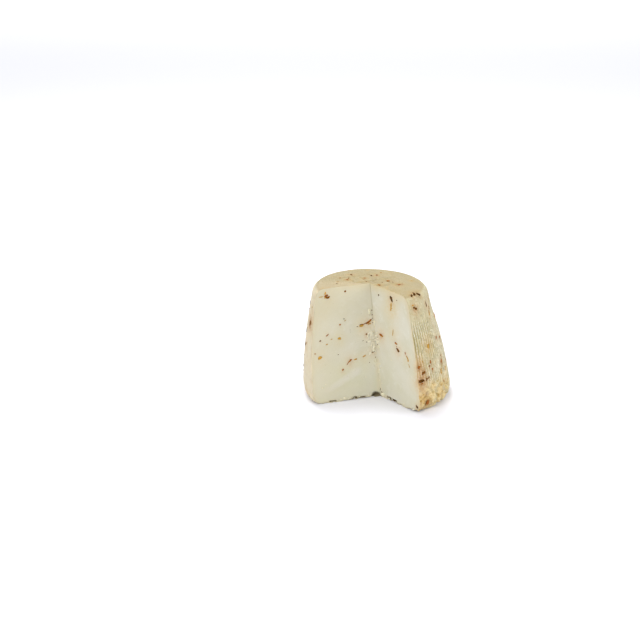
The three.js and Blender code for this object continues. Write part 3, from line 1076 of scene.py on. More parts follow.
    def _specks(self) -> list[Flake]:
        """Small specks on the sides that no eye has counted.

        Returns:
            The specks.
        """
        luck = np.random.default_rng(self.seed + 1)
        found = []
        for _ in range(self.specks.count):
            long = luck.uniform(*self.specks.long)
            if luck.random() < self.side_share:
                spot = self.surveyor.rind(luck.uniform(*self.specks.around), luck.uniform(*self.specks.up))
            else:
                radius = self.speck_radius * math.sqrt(luck.random())
                spot = self.surveyor.crown(radius, luck.uniform(*self.speck_crown))
            found.append(self.specks.flake(spot, long, luck.uniform, luck))
        return found

    def _scraps(self, flakes: Sequence[Flake]) -> list[Flake]:
        """The scraps that lie half over the larger flakes and make their outlines uneven.

        Args:
            flakes: All the flakes.

        Returns:
            The scraps.
        """
        luck = np.random.default_rng(self.seed + 2)
        found = []
        for flake in flakes:
            if min(flake.long, 2.0 * flake.wide) < self.whole_below:
                continue
            out = flake.spot.outward
            turn = math.radians(flake.turn)
            along = flake.spot.level * math.cos(turn) + np.cross(out, flake.spot.level) * math.sin(turn)
            across = np.cross(out, along)
            for end in (-1.0, 1.0):
                far, aside, *rest = (luck.uniform(*limits) for limits in self.scrap_ranges)
                spot = flake.spot.off(along * end * flake.long * far + across * flake.wide * aside)
                long, wide, hue, lean, thick = rest
                sizes = (flake.long * long, flake.wide * wide)
                found.append(Flake(spot, *sizes, flake.turn + lean, flake.hue + hue, 0.0, thick))
        return found

    def flakes(self, draws: Draws) -> list[Flake]:
        """All the flakes, from the row of draws where the torn valley left it."""
        main = self._counted() + self._spread(draws)
        return main + self._scraps(main) + self._specks()


# The body


@dataclass
class Skin:
    """The points, faces and measures of the body while it is built, in the round's frame."""

    points: list[np.ndarray] = field(default_factory=list)
    count: int = 0
    faces: list[tuple[int, ...]] = field(default_factory=list)
    sides: list[int] = field(default_factory=list)
    measures: dict[str, list] = field(default_factory=lambda: {"out": [], "edge": [], "angle": []})

    def add(self, points: np.ndarray, *measures: object) -> np.ndarray:
        """Adds points.

        Args:
            points: The points.
            measures: Their distances from the valley and from the rind, and their angles in radians.

        Returns:
            Their numbers, in the points' own order.
        """
        shape = points.shape[:-1]
        self.points.append(points.reshape(-1, 3))
        for values, value in zip(self.measures.values(), measures):
            values.append(np.broadcast_to(value, shape).ravel().astype(float))
        start = self.count
        self.count += len(self.points[-1])
        return np.arange(start, self.count).reshape(shape)

    def quads(self, grid: np.ndarray, part: Part) -> None:
        """Adds the faces of a grid of point numbers.

        Args:
            grid: Point numbers, row by row.
            part: Which part of the surface the faces belong to.
        """
        corners = np.stack([grid[:-1, :-1], grid[:-1, 1:], grid[1:, 1:], grid[1:, :-1]], -1)
        made = corners.reshape(-1, 4).tolist()
        self.faces.extend(tuple(face) for face in made)
        self.sides.extend([part.value] * len(made))

    def strip(self, outer: Row, inner: Row, part: Part) -> None:
        """Joins two rows of points that may differ in number.

        Args:
            outer: Point numbers of the outer row, and how far along it each lies, nought to one.
            inner: The same of the inner row.
            part: Which part of the surface the faces belong to.
        """
        (outer, outer_share), (inner, inner_share) = outer, inner
        i = 0
        j = 0
        while i < len(outer) - 1 or j < len(inner) - 1:
            next_outer = outer_share[i + 1] if i < len(outer) - 1 else math.inf
            next_inner = inner_share[j + 1] if j < len(inner) - 1 else math.inf
            if next_outer <= next_inner:
                self.faces.append((int(outer[i]), int(outer[i + 1]), int(inner[j])))
                i += 1
            else:
                self.faces.append((int(outer[i]), int(inner[j + 1]), int(inner[j])))
                j += 1
            self.sides.append(part.value)


@dataclass(frozen=True)
class Lattice:
    """The basket's lattice on the cap: rows of staggered bricks, turned and shifted."""

    row: float = 21.0
    brick: float = 14.0
    turn: float = 24.0
    shift: float = 0.35
    groove: float = 1.1
    ease: Pair = (0.15, 1.25)

    def deep(self, flat: np.ndarray, reach: float) -> np.ndarray:
        """How deep the lattice is printed.

        Args:
            flat: Places on the cap, from its middle.
            reach: How far out the print goes.

        Returns:
            Shares of the full depth.
        """
        along = heading(self.turn)
        u = flat[:, 0] * along[0] + flat[:, 1] * along[1]
        v = -flat[:, 0] * along[1] + flat[:, 1] * along[0]
        away = np.full(len(flat), FAR)
        rows = math.ceil(reach / self.row)
        bricks = math.ceil(reach / self.brick)
        for row in range(-rows, rows + 1):
            offset = (row + self.shift) * self.row
            if abs(offset) < reach:
                past = np.maximum(np.abs(u) - math.sqrt(reach**2 - offset**2), 0.0)
                away = np.minimum(away, np.hypot(v - offset, past))
            middle = offset + self.row / 2.0
            for brick in range(-bricks, bricks + 1):
                side = (brick + 0.5 * (row % 2)) * self.brick
                if math.hypot(side, abs(middle) + self.row / 2.0) < reach:
                    past = np.maximum(np.abs(v - middle) - self.row / 2.0, 0.0)
                    away = np.minimum(away, np.hypot(u - side, past))
        return 1.0 - smooth(away, *(share * self.groove for share in self.ease))


@dataclass
class Body:
    """The cheese itself: one closed mesh with the basket's print on the rind and two cut faces.

    The worn foot, the worn corner beside the right cut, the young rind beside the left cut and the torn
    and crumbly valley have the heights, the angles in radians or the distances between which they fade.
    """

    round: Round
    notch: Notch
    name: str = "cheese_body"
    steps: tuple[int, int, int] = (12, 84, 10)
    face_steps: int = 78
    column_share: int = 6
    steady: Pair = (-48.0, 196.0)
    right_columns: int = 22
    left_columns: int = 26
    cap_spacing: float = 1.25
    foot_spacing: float = 2.6
    crowding: float = 0.55
    lift_from: float = 80.0
    corner_wear: float = 0.3
    worn_up: Pair = (16.0, 4.0)
    worn_share: float = 0.8
    corner_up: Pair = (38.0, 19.0)
    corner_angle: Pair = (-0.1, -0.5)
    young_angle: Pair = (2.8, 3.15)
    young_ribs: float = 0.9
    young_rough: float = 0.65
    # Painted shade in the hollows eases in as points move, and lies on the lip under the valley's hollow.
    dark_moved: Pair = (0.2, 1.6)
    lip_dark: float = 0.8
    crumbly_up: Quad = (44.0, 54.0, 70.0, 80.0)
    torn_up: Quad = (16.0, 30.0, 80.0, 96.0)
    torn_reach: float = 3.6
    crumbly_reach: float = 5.4
    right_reach_less: float = 3.0
    torn_share: float = 0.25
    end_share: float = 1.4
    map_reach: float = 200.0
    stain_lift: float = 0.6
    stain_drip: float = 0.75
    red_size: Pair = (0.75, 0.5)
    yellow_size: Pair = (1.5, 1.5)
    yellow_share: float = 0.8
    red_below: float = 0.62
    sharp_angle: float = 55.0

    def __post_init__(self) -> None:
        """Starts an empty surface."""
        self.skin = Skin()
        self.section, self.heights = self.round.section(*self.steps)
        along = np.linspace(0.0, 1.0, self.face_steps + 1)
        self.shares = along - self.crowding * np.sin(2.0 * math.pi * along) / (2.0 * math.pi)

    def _side(self) -> None:
        """Lays the side between the two cuts, with columns that follow the ribs."""
        self.reach = {cut: self.notch.reach(cut, self.section, self.heights) for cut in CUTS}
        left, right = (self.reach[cut][1][:, None] for cut in CUTS)
        step = FULL_TURN / (self.round.rib_count * self.column_share)
        first, last = (math.radians(round(end / step) * step) for end in self.steady)
        steady = np.linspace(first, last, round(math.degrees(last - first) / step) + 1)
        near_right = right + (first - right) * np.linspace(0.0, 1.0, self.right_columns + 1)[:-1]
        near_left = last + (left - last) * np.linspace(0.0, 1.0, self.left_columns + 1)[1:]
        middle = np.broadcast_to(steady, (len(right), len(steady)))
        self.angles = np.concatenate([near_right, middle, near_left], 1)
        rows = (np.broadcast_to(row[:, None], self.angles.shape) for row in (self.section, self.heights))
        self.side_points = self.round.ring(self.angles, *rows)
        self.side = self.skin.add(self.side_points, FAR, 0.0, self.angles)
        self.skin.quads(self.side, Part.RIND)

    def _face(self, cut: Part, valley: list[np.ndarray]) -> np.ndarray:
        """Lays one cut face between the valley and the side.

        Args:
            cut: Which cut.
            valley: The column of the valley's point numbers, if they are there already.

        Returns:
            The face's point numbers, row by row from the foot.
        """
        end = -1 if cut is Part.LEFT else 0
        reach = self.reach[cut][0][:, None]
        out = self.shares[None, :] * reach
        z = np.broadcast_to(self.heights[:, None], out.shape).copy()
        outward = self.notch.way(cut) * out[..., None]
        flat = self.notch.valley(z) + outward
        lift = self.round.crown_height(flat[..., 0], flat[..., 1]) - self.round.height
        rise = smooth(self.heights, self.lift_from, self.round.height)[:, None]
        z += lift * rise * (self.shares < 1.0)
        inner = slice(len(valley), -1)
        points = (self.notch.valley(z) + outward)[:, inner]
        numbers = self.skin.add(points, out[:, inner], (reach - out)[:, inner], self.angles[:, end, None])
        grid = np.concatenate([*valley, numbers, self.side[:, end, None]], 1)
        self.skin.quads(grid, cut)
        return grid

    def _end(self, row: int, spacing: float, part: Part) -> None:
        """Closes the cap or the foot with rings that narrow to the valley.

        Args:
            row: The side's last or first row.
            spacing: The distance between the points of a ring.
            part: Which end it is.
        """
        turns = self.angles[row]
        shares = (turns - turns[0]) / (turns[-1] - turns[0])
        middle = np.concatenate(self.skin.points)[self.left[row, 0]]
        outer = (self.side[row], shares)
        for step in range(self.face_steps - 1, 0, -1):
            arc = self.shares[step] * (turns[-1] - turns[0]) * float(self.section[row])
            most = len(outer[0]) // (2 if step == self.face_steps - 1 else 1)
            along = np.linspace(0.0, 1.0, int(np.clip(arc / spacing, 3, most)) + 1)
            columns = [np.interp(along, shares, column) for column in self.side_points[row].T]
            ring = middle + (np.stack(columns, -1) - middle) * self.shares[step]
            if part is Part.CAP:
                ring[:, 2] = self.round.crown_height(ring[:, 0], ring[:, 1])
            numbers = self.skin.add(ring[1:-1], FAR, 0.0, np.interp(along, shares, turns)[1:-1])
            inner = (np.array([self.right[row, step], *numbers, self.left[row, step]]), along)
            self.skin.strip(outer, inner, part)
            outer = inner
        self.skin.strip(outer, (self.left[row, :1], np.zeros(1)), part)

    def _directions(self, points: np.ndarray, faces: Sequence[tuple], cut: np.ndarray) -> list[np.ndarray]:
        """The ways in which the relief and the wear move each point.

        Args:
            points: All the points.
            faces: All the faces.
            cut: Whether each face is one of a cut.

        Returns:
            Unit vectors out of the rind, out of the cuts, and along the cut where the two meet. Then how the
            corner between the two is worn, and which points lie on the rind.
        """
        ways = [np.zeros_like(points), np.zeros_like(points)]
        corners = np.array([face[:3] for face in faces])
        a, b, c = (points[corners[:, corner]] for corner in range(3))
        normals = unit(np.cross(b - a, c - a))
        for way, chosen in zip(ways, (~cut, cut)):
            rows = np.nonzero(chosen)[0]
            for corner in range(3):
                np.add.at(way, corners[rows, corner], normals[rows])
            fourth = [row for row in rows if len(faces[row]) == 4]
            np.add.at(way, np.array([faces[row][3] for row in fourth], int), normals[fourth])
        on_rind, on_cut = (np.linalg.norm(way, axis=-1) > TINY for way in ways)
        rind_way, cut_way = (unit(way) for way in ways)
        both = on_rind & on_cut
        within = rind_way - cut_way * np.sum(rind_way * cut_way, -1, keepdims=True)
        way = np.where(on_rind[:, None], rind_way, cut_way)
        way[both] = unit(within)[both]
        return [way, np.where(both[:, None], unit(rind_way + cut_way), 0.0), on_rind]

    def _oriented(self, points: np.ndarray) -> list[tuple[int, ...]]:
        """Turns every face outwards.

        Args:
            points: All the points.

        Returns:
            The faces, in the same order.
        """
        mesh = bpy.data.meshes.new("orient")
        mesh.from_pydata(points.tolist(), [], self.skin.faces)
        work = bmesh.new()
        work.from_mesh(mesh)
        bmesh.ops.recalc_face_normals(work, faces=work.faces[:])
        faces = [tuple(vert.index for vert in face.verts) for face in work.faces]
        open_edges = sum(1 for edge in work.edges if len(edge.link_faces) != 2)
        LOG.info("body surface: %d faces, %d open edges", len(faces), open_edges)
        work.free()
        bpy.data.meshes.remove(mesh)
        return faces

    def _stains(self, points: np.ndarray, flakes: Sequence[Flake]) -> dict[str, np.ndarray]:
        """How far the flakes' oil has coloured the surface.

        Args:
            points: All the points.
            flakes: All the flakes.

        Returns:
            The red stain and the yellow stain, nought to one.
        """
        stains = {"red": np.zeros(len(points)), "yellow": np.zeros(len(points))}
        for flake in flakes:
            if flake.stain <= 0.0:
                continue
            away = (points - flake.spot.place) * np.array([1.0, 1.0, self.stain_drip]) + UP * self.stain_lift
            far = np.linalg.norm(away, axis=-1)
            size = 0.5 * (flake.long + flake.wide)
            red, yellow = (
                flake.stain * np.exp(-((far / (share * size + more)) ** 2))
                for share, more in (self.red_size, self.yellow_size)
            )
            if flake.hue < self.red_below:
                stains["red"] = np.maximum(stains["red"], red)
            stains["yellow"] = np.maximum(stains["yellow"], self.yellow_share * yellow)
        return stains

    def _carved(self, points: np.ndarray, scoops: Sequence[Scoop]) -> np.ndarray:
        """Carves the hollows and gives the painted shade in them.

        Args:
            points: All the points, changed in place.
            scoops: The hollows, of which the last has a lip under it that gets painted shade too.

        Returns:
            How much painted shade each point gets, nought to one.
        """
        hollow = np.zeros(len(points))
        for scoop in scoops:
            before = points.copy()
            scoop.carve(points)
            moved = np.linalg.norm(points - before, axis=-1)
            hollow = np.maximum(hollow, scoop.dark * smooth(moved, *self.dark_moved))
        return np.maximum(hollow, self.lip_dark * scoops[-1].lip(before))

    def _torn(self, out: np.ndarray, heights: np.ndarray, right: np.ndarray) -> np.ndarray:
        """How torn the valley is.

        Args:
            out: Distances from the valley.
            heights: Heights.
            right: Which points lie on the right cut.

        Returns:
            Nought to one, with the crumbly middle the strongest.
        """
        low, lower, upper, high = self.crumbly_up
        crumbly = smooth(heights, low, lower) * (1.0 - smooth(heights, upper, high))
        reach = self.torn_reach + (self.crumbly_reach - self.right_reach_less * right) * crumbly
        low, lower, upper, high = self.torn_up
        torn = np.exp(-((out / reach) ** 4)) * smooth(heights, low, lower)
        torn = torn * (1.0 - smooth(heights, upper, high))
        return torn * (self.torn_share + (1.0 - self.torn_share) * crumbly)

    def build(
        self,
        scoops: Sequence[Scoop],
        flakes: Sequence[Flake],
        paste: bpy.types.Material,
        rind: bpy.types.Material,
    ) -> None:
        """Builds the body, carves it and prints the basket's relief on it.

        Args:
            scoops: The hollows of the valley and of the foot's edge.
            flakes: The flakes, for their stains.
            paste: The cut cheese's finish.
            rind: The rind's finish.
        """
        self._side()
        self.left = self._face(Part.LEFT, [])
        self.right = self._face(Part.RIGHT, [self.left[:, :1]])
        self._end(0, self.foot_spacing, Part.FOOT)
        self._end(len(self.heights) - 1, self.cap_spacing, Part.CAP)
        points = np.concatenate(self.skin.points)
        faces = self._oriented(points)
        sides = np.array(self.skin.sides)
        is_cut = np.isin(sides, [cut.value for cut in CUTS])
        way, corner_way, on_rind = self._directions(points, faces, is_cut)
        out, edge, angle = (np.concatenate(values) for values in self.skin.measures.values())
        heights = points[:, 2].copy()
        cap = np.unique(np.concatenate([face for face, side in zip(faces, sides) if side == Part.CAP.value]))
        lattice = np.zeros(len(points))
        flat = points[cap, :2] - self.round.centre(self.round.height)
        lattice[cap] = Lattice().deep(flat, self.round.crown_radius - self.round.crown_rim)
        stains = self._stains(points, flakes)
        young = smooth(angle, *self.young_angle)
        corner = smooth(heights, *self.corner_up) * smooth(angle, *self.corner_angle)
        worn = np.maximum(self.worn_share * smooth(heights, *self.worn_up), corner)
        points -= corner_way * self.corner_wear
        hollow = self._carved(points, scoops)
        on_side, right = np.zeros((2, len(points)))
        on_side[self.side.ravel()] = 1.0
        right[self.right[:, 1:].ravel()] = 1.0
        ends = np.minimum(heights, self.round.height + self.round.crown - heights)
        ribbed = on_side * (1.0 - self.young_ribs * np.maximum(worn, young))
        mesh = bpy.data.meshes.new(self.name)
        mesh.from_pydata(((points + np.array([*self.round.place, 0.0])) * MM).tolist(), [], faces)
        numbers = {
            "around": angle,
            "ribs": self.round.rib_strength(heights) * ribbed,
            "rough": on_rind * (1.0 - self.young_rough * young),
            "tear": self._torn(out, heights, right),
            "lattice": lattice,
            "edge": np.where(on_rind, 0.0, np.minimum(edge, ends * self.end_share)),
            "worn": worn,
            # Painted shade in the carved hollows, the bites and the lip under the valley's hollow.
            "hollow": hollow,
            "young": young,
        }
        for name, values in (numbers | stains).items():
            store(mesh, name, values)
        store(mesh, "outward", way, "vector")
        store(mesh, "cut_map", np.stack([np.minimum(out, self.map_reach), heights, right], -1), "vector")
        store(mesh, "is_cut", is_cut, on="FACE")
        piece = placed(self.name, mesh)
        Relief().apply(piece, self.round.rib_count, paste, rind)
        piece.data.shade_smooth()
        piece.data.set_sharp_from_angle(angle=math.radians(self.sharp_angle))
        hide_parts("cheese")
        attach(piece, "root")
        report(piece)


@dataclass(frozen=True)
class Relief:
    """The print of the basket and the marks of the knife, made by a Geometry Nodes tree."""

    rib_depth: float = 0.7
    wrinkle_depth: float = 0.58
    pock_depth: float = 0.45
    wave_depth: float = 1.1
    clod_depth: float = 12.0
    lattice_depth: float = 1.0
    knife_depth: float = 0.3
    tear_depth: float = 0.35

    def apply(
        self,
        piece: bpy.types.Object,
        ribs: int,
        paste: bpy.types.Material,
        rind: bpy.types.Material,
    ) -> None:
        """Prints the relief on the body.

        Args:
            piece: The body.
            ribs: How many ribs go round.
            paste: The cut cheese's finish.
            rind: The rind's finish.
        """
        values = {depth.name: getattr(self, depth.name) * MM for depth in fields(self)}
        tree = Growth("basket_print", values | {"rib_count": float(ribs), "paste": paste, "rind": rind})
        place = tree.place()
        height = tree.parts(place)[2]
        names = ("around", "ribs", "rough", "is_cut")
        around, ribbed, rough, is_cut = (tree.attribute(name) for name in names)
        wobble = (tree.noise(place, 45, 3) - 0.5) * 0.05
        wave = tree.math("COSINE", (around + wobble) * tree.given("rib_count"))
        patchy = tree.noise(place * (1.0, 1.0, 0.5), 55, 3).eased(0.34, 0.6, 0.2)
        bold = around.eased(-0.76, -0.88) * height.eased(0.03, 0.045) * height.eased(0.1, 0.085)
        groove = (0.5 - wave * 0.5) ** 2.2 * ribbed * patchy.highest(bold * 1.15)
        clod = tree.noise(place, 115, 3, 0.55, 0.8) - 0.5
        wrinkle = tree.noise(place * (1.0, 1.0, 0.55), 190, 5, 0.6, 1.4) - 0.5
        pocks = tree.cells(place, 260).eased(0.12, 0.42, 1, 0) * tree.noise(place, 70).eased(0.5, 0.66)
        lattice = tree.attribute("lattice") * tree.noise(place, 60, 3).eased(0.3, 0.55, 0.45)
        relief = (
            (tree.noise(place, 24) - 0.5) * tree.given("wave_depth")
            + clod * tree.attribute("worn") * tree.given("clod_depth")
            + wrinkle * tree.given("wrinkle_depth") * (1.0 - ribbed * 0.35)
            - pocks * tree.given("pock_depth")
            - groove * tree.given("rib_depth")
            - lattice * tree.given("lattice_depth")
        )
        knife = (tree.noise(place, 30) - 0.5) * tree.given("knife_depth")
        shift = tree.attribute("outward", "FLOAT_VECTOR") * (relief * rough + knife * rough.eased(0.1, 0))
        crumble = tree.noise(place, 420, 3, 0.65, 0.6, "Color") - GREY
        shift = shift + crumble * (tree.attribute("tear") * tree.given("tear_depth"))
        shape = tree.moved(tree.given("Geometry"), Offset=shift)
        floor = {0: tree.place(), 1: (-1.0, -1.0, 0.0)}
        shape = tree.moved(shape, Position=tree.add("ShaderNodeVectorMath", floor, operation="MAXIMUM"))
        for name, value in (("groove", groove), ("clod", clod)):
            inputs = {"Geometry": shape, "Name": name, "Value": value}
            shape = tree.add("GeometryNodeStoreNamedAttribute", inputs, data_type="FLOAT", domain="POINT")
        shape = tree.dressed(tree.dressed(tree.real(shape), "rind", 1.0 - is_cut), "paste", is_cut)
        tree.grow(shape, piece)


@dataclass(frozen=True)
class Scatter:
    """Chips or crumbs that a Geometry Nodes tree sets on points and makes uneven.

    They are sunk by a share of their thickness. Loose is how uneven they are before their width counts,
    and how much each millimetre of it adds.
    """

    name: str
    round_shape: bool
    uneven: float
    grain: float
    sunk: float
    slot: str
    loose: Pair = (0.25, 0.25)

    def _grow(self, piece: bpy.types.Object, finish: bpy.types.Material) -> None:
        """Sets a small solid on each point, turned, sized and then bent by noise.

        Args:
            piece: The points, whose mesh becomes the solids.
            finish: Their material.
        """
        values = {"uneven": self.uneven * MM, "grain": self.grain, "finish": finish}
        tree = Growth(self.name + "_scatter", values)
        if self.round_shape:
            solid = tree.add("GeometryNodeMeshIcoSphere", {"Radius": 0.5, "Subdivisions": 3}, "Mesh")
        else:
            sizes = {"Vertices": 10, "Side Segments": 1, "Fill Segments": 2, "Radius": 0.5, "Depth": 1.0}
            solid = tree.add("GeometryNodeMeshCylinder", sizes, "Mesh", fill_type="TRIANGLE_FAN")
        turn, size = (tree.attribute(name, "FLOAT_VECTOR") for name in ("turn", "size"))
        turn = tree.add("FunctionNodeEulerToRotation", {0: turn})
        inputs = {"Points": tree.given("Geometry"), "Instance": solid, "Rotation": turn, "Scale": size}
        shape = tree.real(tree.add("GeometryNodeInstanceOnPoints", inputs))
        bend = tree.noise(tree.place(), tree.given("grain"), 2, 0.6, 0.3, "Color") - GREY
        shape = tree.moved(shape, Offset=bend * (tree.given("uneven") * tree.attribute("loose")))
        if not self.round_shape:
            shape = tree.add("GeometryNodeSubdivisionSurface", {"Mesh": shape, "Level": 1})
        shape = tree.real(tree.add("GeometryNodeSetShadeSmooth", {"Geometry": shape}))
        tree.grow(tree.dressed(shape, "finish"), piece)

    def build(self, spots: Sequence[Flake], place: Pair, finish: bpy.types.Material) -> bpy.types.Object:
        """Sets a chip or a crumb on each place.

        Args:
            spots: Where they lie, how large they are and how they are turned.
            place: The shift from the round's frame to the part's.
            finish: Their material.

        Returns:
            The finished piece.
        """
        shift = np.array([*place, 0.0])
        points = []
        turns = []
        for spot in spots:
            turn = math.radians(spot.turn)
            outward = Vector(spot.spot.outward)
            level = Vector(spot.spot.level)
            long_way = level * math.cos(turn) - level.cross(outward) * math.sin(turn)
            turns.extend(Matrix((long_way, outward.cross(long_way), outward)).transposed().to_euler("XYZ"))
            middle = (spot.spot.place + shift) - spot.spot.outward * (self.sunk * spot.thick)
            points.append(tuple(middle * MM))
        mesh = bpy.data.meshes.new(self.name)
        mesh.from_pydata(points, [], [])
        store(mesh, "turn", turns, "vector")
        store(mesh, "size", [(spot.long * MM, spot.wide * MM, spot.thick * MM) for spot in spots], "vector")
        store(mesh, "tone", [spot.hue for spot in spots])
        store(mesh, "loose", [min(1.0, self.loose[0] + self.loose[1] * spot.wide) for spot in spots])
        piece = placed(self.name, mesh)
        self._grow(piece, finish)
        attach(piece, "root")
        report(piece)
        return piece


@dataclass(frozen=True)
class Crumbs:
    """The crumbs of the torn valley and of the foot's edge.

    A single one has its cut, its distance from the valley, its height and its size. The large one, on
    the right cut, has its distance, height, length, width, turn, tone, stain and thickness.
    """

    surveyor: Surveyor
    # The large crumbs' low tone is painted shade that offsets the light on their upturned tops.
    lump_tone: float = 0.2
    small_count: int = 32
    small_left: float = 0.8
    small_up: Pair = (47.0, 73.0)
    small_out_left: Triple = (0.2, 1.5, 9.5)
    small_out_right: Pair = (0.2, 5.5)
    small_size: Pair = (2.6, 5.2)
    small_slim: Pair = (0.32, 0.6)
    small_thick: Pair = (1.0, 1.6)
    small_turn: Pair = (45.0, 18.0)
    small_raised: float = 0.05
    singles: tuple[tuple[Part, float, float, float], ...] = (
        (Part.RIGHT, 4.0, 37.5, 2.6),
        (Part.RIGHT, 6.0, 34.0, 2.0),
        (Part.RIGHT, 0.8, 27.3, 2.4),
        (Part.RIGHT, 1.6, 18.7, 2.6),
        (Part.RIGHT, 4.4, 16.2, 2.0),
        (Part.LEFT, 15.0, 23.6, 1.6),
        (Part.LEFT, 66.0, 18.0, 2.2),
        (Part.LEFT, 62.0, 21.0, 1.4),
        (Part.RIGHT, 24.0, 48.0, 1.4),
    )
    single_slim: Pair = (0.45, 0.7)
    single_turn: Pair = (40.0, 25.0)
    single_thick: float = 0.6
    foot_count: int = 26
    foot_left: float = 0.5
    foot_size: Pair = (0.6, 1.8)
    foot_out: Pair = (12.0, 54.0)
    foot_up: Pair = (1.0, 3.0)
    foot_lift: float = 0.4
    foot_uneven: Pair = (0.7, 1.3)
    foot_sunk: float = 0.25
    large: tuple[float, ...] = (4.4, 3.4, 5.6, 4.8, 10.0, 0.6, 0.0, 3.6)
    seed: int = 19

    def spots(self, lumps: Sequence[Lump]) -> list[Flake]:
        """Where the crumbs lie and how large they are.

        Args:
            lumps: The large crumbs that the solid has too.

        Returns:
            All the crumbs.
        """
        found = []
        for lump in lumps:
            spot = Spot(lump.spot.place, UP, heading(0.0))
            found.append(Flake(spot, *lump.size[:2], lump.turn, self.lump_tone, 0.0, lump.size[2]))
        luck = np.random.default_rng(self.seed)
        for _ in range(self.small_count):
            cut = CUTS[luck.random() >= self.small_left]
            up = luck.uniform(*self.small_up)
            left = cut is Part.LEFT
            out = luck.triangular(*self.small_out_left) if left else luck.uniform(*self.small_out_right)
            spot = self.surveyor.cut(cut, out, up)
            long = luck.uniform(*self.small_size)
            wide = long * luck.uniform(*self.small_slim)
            thick = luck.uniform(*self.small_thick)
            spot = spot.off(spot.outward * thick * self.small_raised)
            found.append(Flake(spot, long, wide, luck.normal(*self.small_turn), luck.random(), 0.0, thick))
        for cut, out, up, size in self.singles:
            spot = self.surveyor.cut(cut, out, up)
            wide = size * luck.uniform(*self.single_slim)
            turn = luck.normal(*self.single_turn)
            found.append(Flake(spot, size, wide, turn, luck.random(), 0.0, self.single_thick * size))
        for _ in range(self.foot_count):
            cut = CUTS[luck.random() >= self.foot_left]
            size = luck.uniform(*self.foot_size)
            out = luck.uniform(*self.foot_out)
            spot = self.surveyor.cut(cut, out, luck.uniform(*self.foot_up) + self.foot_lift * size)
            long, wide, thick = size * luck.uniform(*self.foot_uneven, 3)
            spot = spot.off(-(spot.outward * size * self.foot_sunk))
            found.append(Flake(spot, long, wide, luck.uniform(0.0, HALF_TURN), luck.random(), 0.0, thick))
        out, up, *sizes = self.large
        found.append(Flake(self.surveyor.cut(Part.RIGHT, out, up), *sizes))
        return found


# The finishes


